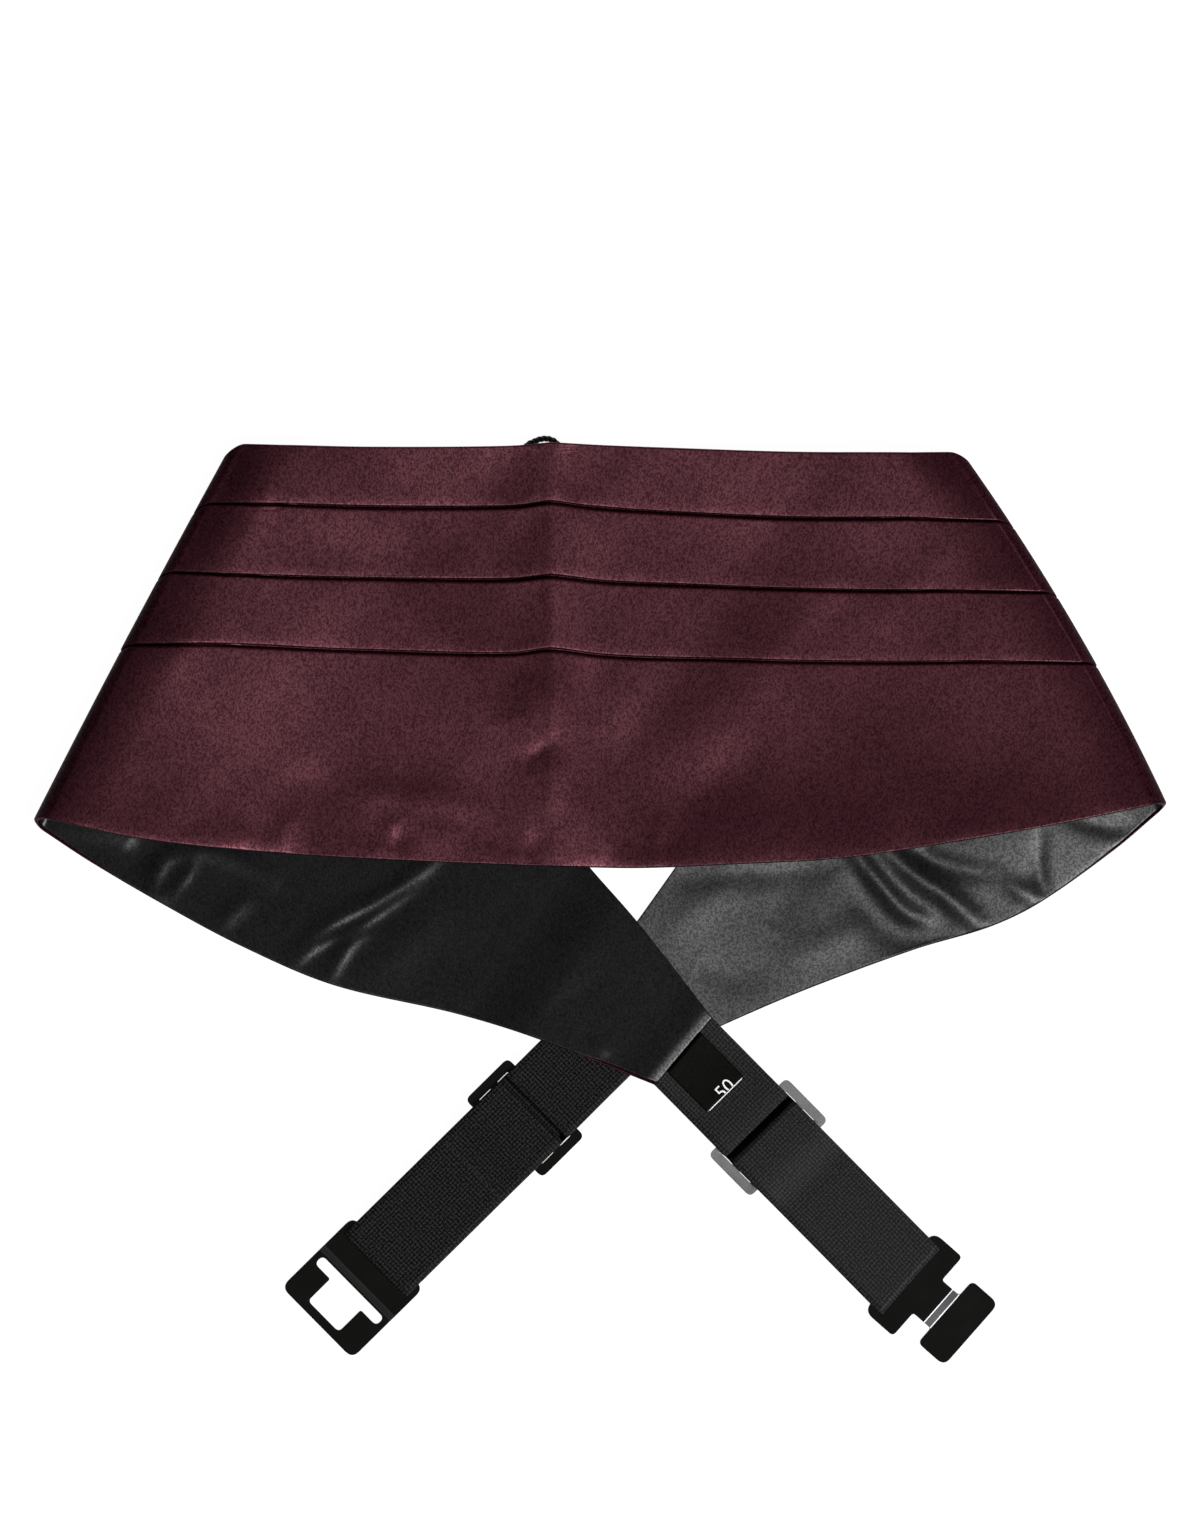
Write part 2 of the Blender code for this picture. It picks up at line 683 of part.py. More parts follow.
def eye_plate(course, finish):
    bar = TEE_BAR_WIDTH / 2
    stem = TEE_STEM_WIDTH / 2
    tee = [(TEE_START, -bar, 0.8), (TEE_START + TEE_BAR, -bar, 0.8),
           (TEE_START + TEE_BAR, -stem, 0.5), (TEE_START + TEE_DEPTH, -stem, 1.4),
           (TEE_START + TEE_DEPTH, stem, 1.4), (TEE_START + TEE_BAR, stem, 0.5),
           (TEE_START + TEE_BAR, bar, 0.8), (TEE_START, bar, 0.8)]
    outlines = [box_outline(EYE_BACK, EYE_LENGTH, EYE_WIDTH, PLATE_CORNER),
                box_outline(*PLATE_SLOT, EYE_SLOT_WIDTH, WINDOW_CORNER), rounded(tee)]
    made = flat_metal("eye_plate", outlines, PLATE_THICKNESS, finish, EYE_STEP,
                      PLATE_BOTTOM - FOOT)
    place(made, course, course.strap.reach, PLATE_BOTTOM + PLATE_THICKNESS / 2)


def hook_plate(course, finish):
    body = HOOK_BODY_WIDTH / 2
    neck = HOOK_NECK_WIDTH / 2
    head = HOOK_HEAD_WIDTH / 2
    lower = [(HOOK_BACK, -body, 3.2), (HOOK_BODY, -body, 1.4), (HOOK_BODY, -neck, 0.8),
             (HOOK_NECK, -neck, 0.8), (HOOK_NECK, -head, 1.8), (HOOK_END, -head, 2.6)]
    upper = [(x, -y, radius) for x, y, radius in reversed(lower)]
    outlines = [rounded(lower + upper), box_outline(*PLATE_SLOT, HOOK_SLOT_WIDTH, WINDOW_CORNER)]
    made = flat_metal("hook_plate", outlines, PLATE_THICKNESS, finish, HOOK_STEP,
                      PLATE_BOTTOM - FOOT)
    place(made, course, course.strap.reach, PLATE_BOTTOM + PLATE_THICKNESS / 2,
          course.strap.turn)


def button_loop(finish):
    """Cord loop sewn to the lining behind the top edge; only its arch shows."""
    left = [Vector((LOOP_X - row.half, row.y)) for row in LOOP_ROWS]
    right = [Vector((LOOP_X + row.half, row.y)) for row in reversed(LOOP_ROWS)]
    route = left + right
    curve = bpy.data.curves.new("button_loop", "CURVE")
    curve.dimensions = "3D"
    curve.bevel_depth = LOOP_CORD / 2 * MM
    curve.bevel_resolution = 2
    curve.use_fill_caps = True
    spline = curve.splines.new("POLY")
    spline.points.add(LOOP_STEPS)
    for step in range(LOOP_STEPS + 1):
        spot = along(route, step / LOOP_STEPS)
        spline.points[step].co = (spot.x * MM, spot.y * MM, LOOP_LEVEL * MM, 1.0)
    add_object("button_loop", curve, finish)


for old in list(bpy.data.objects):
    bpy.data.objects.remove(old, do_unlink=True)

PARTS = bpy.data.collections.new("cummerbund")
bpy.context.scene.collection.children.link(PARTS)
MIDDLE = bpy.data.objects.new("middle_of_drawing", None)
MIDDLE.location = (DRAWING_SHIFT[0] * MM, DRAWING_SHIFT[1] * MM, 0.0)
PARTS.objects.link(MIDDLE)

WINE_SATIN = material("wine_satin", "6a2a38", 0.42)
BLACK_LINING = material("black_lining", "26262a", 0.38)
BLACK_CORD = material("black_cord", "17171a", 0.7)
BLACK_ELASTIC = material("black_elastic", "1d1d20", 0.8)
BLACK_METAL = material("black_metal", "1a1a1c", 0.35, 0.6)
GREY_METAL = material("grey_metal", "8a8a8c", 0.35, 1.0)
LABEL_CLOTH = material("label_cloth", "18181b", 0.6)

LEFT_SIDE = Side(LEFT, -1)
RIGHT_SIDE = Side(RIGHT, 1)
STATIONS = band_stations()
for number, strip in enumerate(("pleat_top", "pleat_second", "pleat_third", "lower_panel")):
    cloth_wall(strip, satin_rings(STATIONS, number), WINE_SATIN)
cloth_wall("lining", lining_rings(STATIONS), BLACK_LINING)

LEFT_COURSE = Course(LEFT_STRAP)
RIGHT_COURSE = Course(RIGHT_STRAP)
cloth_wall("elastic_left", elastic_rings(LEFT_COURSE), BLACK_ELASTIC)
cloth_wall("elastic_right", elastic_rings(RIGHT_COURSE), BLACK_ELASTIC)
slider("slider_left", LEFT_COURSE, BLACK_METAL)
slider("slider_right", RIGHT_COURSE, GREY_METAL)
eye_plate(LEFT_COURSE, BLACK_METAL)
hook_plate(RIGHT_COURSE, BLACK_METAL)
cloth_wall("size_label", label_rings(RIGHT_COURSE), LABEL_CLOTH)
button_loop(BLACK_CORD)
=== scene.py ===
"""Looks of a cummerbund laid flat: pleated satin, lining, straps, fittings, stage and camera.

The file is laid out as a Blender add-on: sizes and colours are properties, and each piece or
group of like pieces has its operator. Lengths are millimetres until a mesh is made. X runs
along the waist, Y from the crossed tails to the top edge of the front, and Z up from the
surface it lies on. The outline repeats that of the solids, in finer steps.
"""
import math
from collections import namedtuple
from functools import cache

import bmesh
import bpy
import numpy as np
from mathutils import Matrix, Vector
from bpy.props import FloatProperty, FloatVectorProperty, PointerProperty, StringProperty


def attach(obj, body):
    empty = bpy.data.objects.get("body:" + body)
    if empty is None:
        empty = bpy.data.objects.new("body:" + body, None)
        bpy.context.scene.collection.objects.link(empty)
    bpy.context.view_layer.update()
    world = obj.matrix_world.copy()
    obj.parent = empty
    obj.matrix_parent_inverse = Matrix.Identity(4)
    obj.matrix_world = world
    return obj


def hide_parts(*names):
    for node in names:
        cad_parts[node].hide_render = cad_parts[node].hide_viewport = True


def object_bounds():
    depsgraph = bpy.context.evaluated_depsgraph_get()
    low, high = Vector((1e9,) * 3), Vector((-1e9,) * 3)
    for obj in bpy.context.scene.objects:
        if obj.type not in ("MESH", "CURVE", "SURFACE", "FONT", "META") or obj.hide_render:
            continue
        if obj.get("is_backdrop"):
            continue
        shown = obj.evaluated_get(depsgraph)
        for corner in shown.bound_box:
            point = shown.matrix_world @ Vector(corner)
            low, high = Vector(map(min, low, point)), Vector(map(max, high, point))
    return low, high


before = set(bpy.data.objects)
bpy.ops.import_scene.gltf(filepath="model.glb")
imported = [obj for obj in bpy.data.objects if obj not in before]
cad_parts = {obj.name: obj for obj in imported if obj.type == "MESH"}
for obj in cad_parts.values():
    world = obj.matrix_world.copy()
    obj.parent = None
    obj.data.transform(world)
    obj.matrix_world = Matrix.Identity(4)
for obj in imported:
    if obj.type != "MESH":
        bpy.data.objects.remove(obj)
CAD_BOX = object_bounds()

bl_info = {
    "name": "Pleated cummerbund",
    "version": (1, 0, 0),
    "blender": (4, 5, 0),
    "location": "3D View > Sidebar > Cummerbund",
    "description": "Satin, lining, straps and fittings of a cummerbund laid flat",
    "category": "Add Mesh",
}

MM = 0.001
DRAWING_SHIFT = (0.244, -0.684)
CUT_MAP = "flat_cut"

# Cloth, as in the solids: the band's middle surface runs between its satin and its lining. The
# lining is set in from the edges, and at the hem by more on the front than along the tails,
# whose inset starts RIM_REACH from their ends.
SATIN_WALL = 1.0
LINING_WALL = 1.0
GAP = 0.3
SATIN_INSIDE = GAP / 2
LINING_OUTSIDE = -GAP / 2
CLOTH = SATIN_WALL + GAP + LINING_WALL
LINING_INSET_TOP = -0.1
LINING_INSET_HEM = 0.9
TAIL_INSET = 0.2
RIM_REACH = 14.0
BEND_RADIUS = 2.85
BEND_OUTER = BEND_RADIUS + SATIN_INSIDE + SATIN_WALL
# The fold at each side is a soft roll: the front rises to it, curves down over its shoulder and
# turns under from a slope of ROLL_START degrees.
ROLL_REACH = 68.0
ROLL_CREST = (6.3, 10.0)
ROLL_DROP = 2.3
ROLL_SHOULDER = 13.0
ROLL_START = 36.0
ROLL_SLOPE = 2 * ROLL_DROP / ROLL_SHOULDER

# Levels of the middle surface over the floor, and how far the ramps between them reach.
TAIL_LEVEL = SATIN_WALL + GAP / 2
OVER_TAIL_LEVEL = CLOTH + 0.5 + LINING_WALL + GAP / 2
HOLLOW_LEVEL = 1.2 + LINING_WALL + GAP / 2
SUPPORT_MARGIN = 8.0
SUPPORT_RAMP = 26.0
CROSSING_LIFT = CLOTH + 0.5
CROSSING_MARGIN = 6.0
CROSSING_RAMP = 18.0

# Knife pleats: each free edge lies over the strip below it, and its lap and its step end at
# these shares of the way to the fold and round it.
PLEAT_LAP = 5.0
LAP_ENDS = (0.72, 0.94)
LIFT_ENDS = 0.8
PleatRow = namedtuple("PleatRow", "place first second third")
PLEAT_ROWS = (
    PleatRow(-1.0, 0.165, 0.349, 0.542),
    PleatRow(-0.8, 0.154, 0.334, 0.510),
    PleatRow(-0.5, 0.152, 0.326, 0.502),
    PleatRow(-0.1, 0.149, 0.324, 0.501),
    PleatRow(0.0, 0.145, 0.319, 0.492),
    PleatRow(0.1, 0.152, 0.326, 0.501),
    PleatRow(0.5, 0.168, 0.344, 0.523),
    PleatRow(0.8, 0.183, 0.377, 0.566),
    PleatRow(1.0, 0.209, 0.416, 0.616),
)

# How much higher the folds' rounded edges show than the solids' square ones, as a share.
PLEAT_TRIM = 0.0065

# The centre crease stands up from the front.
CREASE_X = -14.2
CREASE_HEIGHT = 1.1
CREASE_SPREAD = 7.0

# Outline of each half, from the centre crease out, round the fold and along the tail.
Half = namedtuple("Half", "corner_top corner_hem bulge drop_top drop_hem round_top "
                          "front_top front_hem tail_top tail_hem")
LEFT = Half(
    corner_top=(-104.4, 129.2), corner_hem=(-160.2, 23.9), bulge=0.4,
    drop_top=4.3, drop_hem=3.75, round_top=4.2,
    front_top=((CREASE_X, 129.8), (-26, 128.8), (-66, 128.5), (-90, 129)),
    front_hem=((CREASE_X, 9.8), (-45.6, 11), (-73.9, 12.4), (-102.2, 14.4), (-130.5, 17.7)),
    tail_top=((-3.1, 9.3), (10.2, -5.9), (31.4, -33.1)),
    tail_hem=((-144.6, 11), (-123.4, -1.4), (-102.2, -12.7), (-76.1, -23.8), (-41, -32),
              (-17.8, -39.1), (15.3, -52.1)),
)
RIGHT = Half(
    corner_top=(102.3, 126.8), corner_hem=(160, 27.9), bulge=2.4,
    drop_top=4.6, drop_hem=3, round_top=3.2,
    front_top=((CREASE_X, 129.8), (0, 129), (18, 128.3), (53.5, 127.1), (85, 126.9)),
    front_hem=((CREASE_X, 9.8), (11, 9.3), (39.3, 10.5), (67.6, 12.1), (95.9, 16.1),
               (124.2, 20.9)),
    tail_top=((21.2, 9.6), (10.2, -5.9), (-7.1, -30.3)),
    tail_hem=((145.4, 14.4), (124.2, -0.6), (110.1, -7.4), (89.1, -13.7), (57.7, -25.3),
              (33.7, -35.6), (11, -46.1)),
)
# Shares of the way along the front and the tail between which the fold line's bulge shows.
BULGE_START = 0.6
BULGE_END = 0.2

# Fineness of the cloth: section spacing along the band, rows across each strip, and of how many
# sections one is kept on the front and on the tails.
FRONT_SPACING = 1.2
TAIL_SPACING = 0.95
BEND_SECTIONS = 18
PLEAT_ROW_COUNT = 16
PANEL_ROW_COUNT = 46
LINING_ROW_COUNT = 78
SATIN_KEEPS = (1, 2)
LINING_KEEPS = (4, 1)
# Rows at the edges of a piece and below the edge of the pleat above, in millimetres from them.
# Where nothing laps, the rows below the pleat are spread evenly over FLAT_ROWS.
EDGE_ROWS = (0.0, 0.05, 0.15, 0.3, 0.5, 0.75, 1.1)
GROOVE_ROWS = (-2.5, -0.4, 0.0, 0.15, 0.3, 0.5, 0.7, 0.95, 1.25, 1.6, 2.1, 2.8)
FLAT_ROWS = (1.45, 2.8)
EDGE_ROUNDING = 0.35
# The last sections of a tail: how far each is from its end, and its share of the thickness.
END_ROWS = ((1.5, 1.0), (0.75, 1.0), (0.1, 1.0), (0.0, 0.8))

# Small forms of the satin. A strip drops at its own lower edge, by so much over so far, and it
# has a groove under the pleat above it: depth, distance below that pleat's edge, half width.
EDGE_DROP = (0.12, 3.0)
GROOVE = (0.7, 0.35, 0.34)
# Below the groove a strip rises to the pleats' step over this distance, from RISE_START on. The
# panel rises to a share of the step and settles again over a distance.
RISE_START = 0.1
STRIP_RISE = 0.9
PANEL_RISE = (0.5, 66.0)
# The step is pressed down from one share of the way to the fold, to another share of its height.
SIDE_LIFT = (0.84, 0.8)
# The hem is turned in: how far its inner face comes down, and over what distance.
HEM_RIM = (0.8, 1.0)

# Creases: points that each runs through, its half width, and its height, which
# is below 0 for a trough. A crease fades in and out along its course as a sine to a power. Near
# an edge of a strip, within a share of its rows, only a share of its height is left.
# Its course is divided into steps of at most a share of its half width, and it ends some half
# widths out.
CREASE_FADE = 0.7
CREASE_STEPS = 12
CREASE_STEP = 0.8
CREASE_STEP_SHARE = 0.4
CREASE_REACH = 4
EDGE_ROWS_SHARE = 0.1
EDGE_CREASES = 0.35
Crease = namedtuple("Crease", "course width height")
# The slow rises and hollows of the whole front, which its lining follows: it is lifted along
# its hem by the tails that it lies on.
FRONT_LIFTS = (
    Crease(((-230, 10), (-119, 2), (-60, -4)), 30, 3.6),
    Crease(((-84, 6), (-50, 2), (-16, 2)), 14, 1.8),
    Crease(((-75, 23), (-56, 25), (-38, 22)), 9, 0.5),
    Crease(((4, 1), (45, 6), (80, 6), (107, 2), (130, 7), (230, 22)), 19, 4.8),
    Crease(((60, 14), (100, 20), (230, 34)), 27, 2.2),
    Crease(((70, 42), (100, 40), (150, 44)), 16, 0.6),
    Crease(((2, 16), (12, 19), (28, 31), (46, 33)), 9, -1.4),
    Crease(((24, 13), (36, 14), (50, 13), (70, 11), (84, 12)), 9, 0.5),
    Crease(((-14, 19), (-6, 18), (3, 17)), 9, 0.35),
    Crease(((-40, 52), (-20, 57), (-3, 57), (12, 61)), 8, 0.6),
    Crease(((-30, 112), (0, 114), (34, 112), (72, 108)), 14, 0.6),
    Crease(((-300, 136), (-14, 142), (280, 134)), 15, 1.5),
    Crease(((20, 138), (60, 134), (110, 132)), 13, 1.2),
)
# Lifts that go on up to the side folds.
SIDE_LIFTS = (
    Crease(((-128, 124), (-114, 129), (-96, 134)), 19, 2),
    Crease(((66, 136), (92, 132), (114, 127)), 10, 1),
    Crease(((-146, 15), (-126, 10), (-100, 6)), 13, 1.4),
    Crease(((90, 6), (118, 11), (136, 17), (156, 25)), 13, 1.9),
)
FRONT_CREASES = (
    Crease(((-14.4, 131), (-14, 80), (-14.3, 8)), 1.5, 0.28),
    Crease(((-12.5, 46.5), (-16.3, 42.8), (-24, 37.5)), 2.2, -0.3),
    Crease(((-12.8, 46.2), (-15.6, 43.6), (-19.5, 40.4)), 0.8, -0.26),
    Crease(((-11.5, 41), (-13, 33), (-12, 24)), 2.4, 0.3),
    Crease(((-90.8, 12), (-90.2, 17.5), (-87.5, 25)), 1.9, 0.42),
    Crease(((-109, 19), (-99, 16.5), (-92, 15.5)), 3.4, 0.35),
    Crease(((-62.2, 13), (-60.6, 17.5), (-57, 24)), 1.8, 0.34),
    Crease(((-67, 20.5), (-60, 17.5), (-51, 20.5)), 2.6, -0.36),
    Crease(((-33, 21), (-22.5, 15.5), (-18, 17)), 2.8, -0.42),
    Crease(((5, 18.5), (13, 14.5), (24, 18)), 2.4, -0.26),
    Crease(((-20, 10.5), (-24, 15.5), (-30, 22)), 2, 0.36),
    Crease(((-18.6, 8), (-19.4, 12.5), (-18, 20)), 1.8, -0.4),
    Crease(((15.4, 8), (15.3, 14.5), (17, 24)), 1.3, 0.38),
    Crease(((5, 13), (12, 13.5), (20, 12)), 3.2, 0.15),
    Crease(((-78, 31), (-60, 30), (-45, 28.5), (-31, 25)), 3, 0.34),
    Crease(((-57, 21), (-48, 20), (-38, 17)), 3.4, 0.25),
    Crease(((-92, 33), (-78, 32), (-66, 27)), 3.8, -0.25),
    Crease(((-130, 45), (-122, 36), (-117, 22)), 5, 0.35),
    Crease(((-9.5, 130), (-8.8, 121), (-6.5, 113)), 2, -0.34),
    Crease(((-24, 129), (-25.5, 121), (-22.5, 113.5)), 4.5, -0.4),
    Crease(((-19.5, 112), (-21, 104), (-19, 94)), 3.6, -0.4),
    Crease(((-20, 91), (-21.5, 83), (-20, 72)), 3.4, -0.45),
    Crease(((-22, 69), (-26, 60), (-24, 52)), 4.6, -0.5),
    Crease(((-4, 69), (-2, 60), (-3, 50)), 4.2, -0.35),
    Crease(((-86, 108), (-74, 99), (-52, 94)), 6, -0.4),
    Crease(((60, 104), (72, 97), (92, 92)), 6, -0.35),
    Crease(((96, 116), (104, 104), (108, 90)), 4.5, -0.4),
    Crease(((-131, 62), (-123, 70), (-111, 76)), 5, 0.4),
)
TAIL_CREASES = (
    # The left tail's double crease, from the hem of the front down to the tail's own edge.
    Crease(((-42, 17), (-50, 9.5), (-63.5, 0.5), (-77.5, -6.8), (-90, -18.5)), 1.7, 1.1),
    Crease(((-50, 5), (-60.5, -2), (-69.5, -7.6), (-81, -13.2), (-88, -19.5)), 1, 0.6),
    Crease(((-65, -8), (-71.5, -12.5), (-77.5, -23)), 1.6, 0.9),
    Crease(((-44, 2), (-58, -14), (-72, -24)), 4.5, 0.6),
    # Its loop-shaped crease, and the soft ones round it.
    Crease(((-124.5, 12), (-114, 14.5), (-104, 12), (-90, 4.5)), 1.9, 0.95),
    Crease(((-122, 14.5), (-126, 8), (-126, 3), (-119, 0.5)), 1.6, 0.85),
    Crease(((-122, 3), (-118, 6.5), (-115, 12.5)), 1.3, 0.6),
    Crease(((-98.5, 2), (-103.5, -2), (-109, -8)), 2.2, 0.7),
    Crease(((-156, 23), (-144, 21), (-130, 18.5)), 2.6, 0.95),
    Crease(((-134, 17), (-130.5, 12.5), (-129, 7.5)), 2.4, -0.8),
    Crease(((-2.5, -39), (-0.3, -41.5), (1.5, -44.5)), 1.2, 0.5),
    Crease(((-30, -8), (-18, -16), (-10, -28)), 9, 0.5),
    # The right tail's two ridges, the valleys beside them, and its softer forms.
    Crease(((66, 20), (73.2, 12), (77.6, 6.5), (82, 1), (87, -3.6), (95, -6.2)), 2, 1.15),
    Crease(((76, 19), (82.5, 13), (89, 7.4), (98.4, 0.8), (110, -9.5)), 2.4, 1.4),
    Crease(((69, 8), (75.5, -1), (83, -8.5), (100, -13)), 4, -0.8),
    Crease(((92, 15), (116, 20), (150, 31)), 11, 1.5),
    Crease(((86, 15), (100, 9.5), (116, 7.5)), 2.2, -0.75),
    Crease(((125, 22), (124, 9), (126.5, -1)), 1.5, -0.7),
    Crease(((114, 5.5), (119, 2.5), (124, 0)), 2, 0.7),
    Crease(((130, 25), (142, 21.5), (154, 20)), 2.2, -0.7),
    Crease(((18, 6), (50, 8.5), (80, 13)), 3, -0.5),
    Crease(((40, 11), (29, 0), (16, -11)), 4, 0.5),
    Crease(((62, 12), (54, 2), (49, -8)), 4, -0.5),
    Crease(((28, -16), (38, -21), (48, -20)), 3.5, -0.45),
    Crease(((76, -5), (64, -12), (50, -17)), 3.5, 0.45),
)
# The seams across the ends of the tails, where the straps are sewn in, stand up as soft ridges:
# their height, how far in they are highest, how far they reach on inward, and how rounded the
# slope up from the end is, as a power.
SEAM_RIDGE = (0.68, 3.3, 4.0, 1.15)
# Slow swells of the cloth: wave numbers along X and Y, phase and height. The lining has only a
# share of them. Each is bent by a wave of its own: height and share of the wave number.
Swell = namedtuple("Swell", "across up phase height")
SWELLS = (
    Swell(0.046, 0.091, 0.4, 0.09), Swell(-0.083, 0.052, 2.1, 0.07),
    Swell(0.127, 0.149, 4.0, 0.04), Swell(-0.191, 0.118, 1.2, 0.03),
    Swell(0.236, -0.203, 5.1, 0.02),
)
SWELL_BEND = (0.8, 0.7)
SATIN_SWELLING = 1.0
LINING_SWELLING = 0.35

# Elastic straps, sliders and plates, as in the solids.
ELASTIC_WIDTH = 25.0
ELASTIC_WALL = 1.0
SEWN_END = 14.0
DIVE_RADIUS = 0.8
LAYER = ELASTIC_WALL + GAP
LOWER_LAYER = ELASTIC_WALL / 2
SEWN_LAYER = LOWER_LAYER + LAYER
UPPER_LAYER = SEWN_LAYER + LAYER
SLIDER_LENGTH = 16.8
SLIDER_WIDTH = 31.0
SLIDER_THICKNESS = 1.4
SLIDER_END_BAR = 2.6
SLIDER_MIDDLE_BAR = 2.4
SLIDER_FIRST_WINDOW = 4.4
SLIDER_WINDOW_WIDTH = 25.4
SLIDER_BOTTOM = 2 * LAYER
SLIDER_TOP = SLIDER_BOTTOM + SLIDER_THICKNESS
OVER_SLIDER = SLIDER_TOP + GAP + ELASTIC_WALL / 2
SLIDER_CORNER = 1.8
WINDOW_CORNER = 0.6
WRAP_INSET = 0.41
# Where the elastic leaves the eye plate, the sewn end and the slider on its way back.
PLATE_LEAVING = 4.0
SEWN_LEAVING = 8.0
SLIDER_LEAVING = 0.4
ARC_STEP = 12.0
PATH_STEP = 1.0
ELASTIC_ROWS = 22
# Corded selvedges: how far in they reach, the cords' spacing and their height. They fade over
# SELVEDGE_FADE on the inside and at the edge.
SELVEDGE = (4.0, 1.15, 0.07)
SELVEDGE_FADE = (1.0, 0.4)
PLAIN_EDGE = (0.6, 1.0, 0.0)
# The row of stitches near the sewn end: how far in it is, its width, the spacing of stitches as a
# share of their length, and how far their ends sink in and lean.
STITCH_INSET = 1.5
STITCH_ROW = 23.0
STITCH_SPACING = 1.35
STITCH_SINK = 0.16
STITCH_LEAN = 0.12
STITCH_POINTS = 7
# Shares of a tube's radius at the last two rings of each end.
TUBE_DOME = (0.4, 0.85)

PLATE_THICKNESS = 1.2
PLATE_CORNER = 2.8
EYE_BACK = -5.0
HOOK_BACK = -4.2
FOOT = 0.02
PLATE_SLOT = (-1.6, 0.42)
SLOT_FILL = 0.45
PLATE_BOTTOM = LAYER
OVER_PLATE = PLATE_BOTTOM + PLATE_THICKNESS + GAP + ELASTIC_WALL / 2
EYE_WIDTH = 28.5
EYE_LENGTH = 23.4
EYE_SLOT_WIDTH = 25.0
EYE_STEP = (6.3, 8.2)
TEE_START = 8.9
TEE_BAR = 3.1
TEE_BAR_WIDTH = 24.7
TEE_DEPTH = 11.9
TEE_STEM_WIDTH = 12.3
HOOK_BODY_WIDTH = 29.8
HOOK_BODY = 6.7
HOOK_SLOT_WIDTH = 25.0
HOOK_NECK = 13.3
HOOK_NECK_WIDTH = 12.4
HOOK_END = 23.2
HOOK_HEAD_WIDTH = 23.4
HOOK_STEP = (10.6, 13.3)
# Where a plate's step is divided, as shares of its run, and how far it keeps to a straight ramp.
STEP_CUTS = (0.0, 0.11, 0.35, 0.65, 0.89, 1.0)
STEP_SOFTNESS = 0.6
WORN_END = 7.0
SHARP_ANGLE = 50.0
BEVEL_STEPS = 3
SLIDER_EDGE = 1.4
# A face is turned aside from one share of its normal on, and level from the other on. A bare
# place reaches a little past the edge that is worn.
ASIDE = 0.3
LEVEL = 0.98
WEAR_MARGIN = 0.05
# Nearness at which points are joined, and at which they lie on a cut.
PLATE_WELD = 0.01
NUMBER_WELD = 0.001
ON_CUT = 0.0001
# Radii of the corners of the T-shaped hole and of the hook, on one side, from its foot on.
TEE_CORNERS = (1.5, 1.5, 0.7, 1.4)
HOOK_CORNERS = (3.2, 1.4, 0.8, 0.8, 1.8, 2.6)

Strap = namedtuple("Strap", "start edge heading slider reach turn lead")
LEFT_STRAP = Strap(start=(1.95, -38.2), edge=(18.1, -15.8), heading=224.6, slider=24.6,
                   reach=92.4, turn=0.0,
                   lead=((-0.7, 1.15), (8.0, 1.2), (14.0, 1.75), (19.0, 3.2), (23.2, 4.6)))
RIGHT_STRAP = Strap(start=(23.35, -42.6), edge=(16.1, 19.0), heading=-45.4, slider=25.75,
                    reach=91.3, turn=4.1,
                    lead=((-0.7, 3.95), (9.0, 3.8), (17.0, 4.1), (24.2, 4.7)))
EDGE_TURN_REACH = 18.0
PLATE_TURN_REACH = 24.0
PLATE_TURN_START = 34.0

LABEL_START = 0.3
LABEL_END = 17.0
LABEL_WIDTH = 14.6
LABEL_WALL = 0.9
LABEL_STEPS = 24
LABEL_ROWS = 12
# The label's white fold: the thread's radius, and how far it is set in from the sides, the end
# and the top of the label.
FOLD_THREAD = 0.17
FOLD_INSETS = (0.2, 0.1, 0.12)
FOLD_STEPS = 20
# The number's size, its place, its height over the cloth, how much its strokes are thinned, and
# how far its cut foot is from the label's end.
NUMBER_SIZE = 5.6
NUMBER_PLACE = (0.9, -0.9)
NUMBER_RELIEF = 0.05
NUMBER_THINNING = -0.03
NUMBER_FOOT = 0.35

# The button loop: its level, the length of a full twist of its strands, how near they lie to its
# middle as a share of a strand, and its route behind the top edge.
LOOP_LEVEL = 1.1
LOOP_STEPS = 90
LOOP_STRANDS = 3
LOOP_TWIST = 4.2
LOOP_PACKING = 0.52
LOOP_ROUTE = (
    (-18.2, 114.0), (-19.4, 119.0), (-21.1, 124.5), (-21.8, 127.4), (-20.9, 129.1),
    (-19.0, 130.1), (-17.3, 130.75), (-15.7, 130.95), (-14.4, 130.75), (-12.9, 130.0),
    (-11.9, 128.4), (-12.4, 124.5), (-14.2, 119.0), (-15.4, 114.0),
)

# The photograph's frame, 1200 x 1530 pixels, on the drawing: its middle and its height.
VIEW_MIDDLE = (-0.28, 38.5)
VIEW_HEIGHT = 433.0
VIEW_LEVEL = 4.0
LENS = 250.0
SENSOR = 36.0

# One soft lamp: compass angle from +X, tilt from straight up, distance, size and power. The
# room adds a little light from all round, and the white table is lit from within.
Lamp = namedtuple("Lamp", "name angle tilt distance size power")
LAMPS = (
    Lamp("key_softbox", -36.0, 42.0, 3.0, 1.1, 122.0),
)
WORLD_LIGHT = 0.1
TABLE_GLOW = 0.98
TABLE_SIZE = 8.0
TABLE_LEVEL = -0.0001


def linear(hex_colour):
    """Linear red, green and blue of an sRGB hex colour."""
    channels = [int(hex_colour[at:at + 2], 16) / 255 for at in (0, 2, 4)]
    return tuple(c / 12.92 if c <= 0.04045 else ((c + 0.055) / 1.055) ** 2.4 for c in channels)


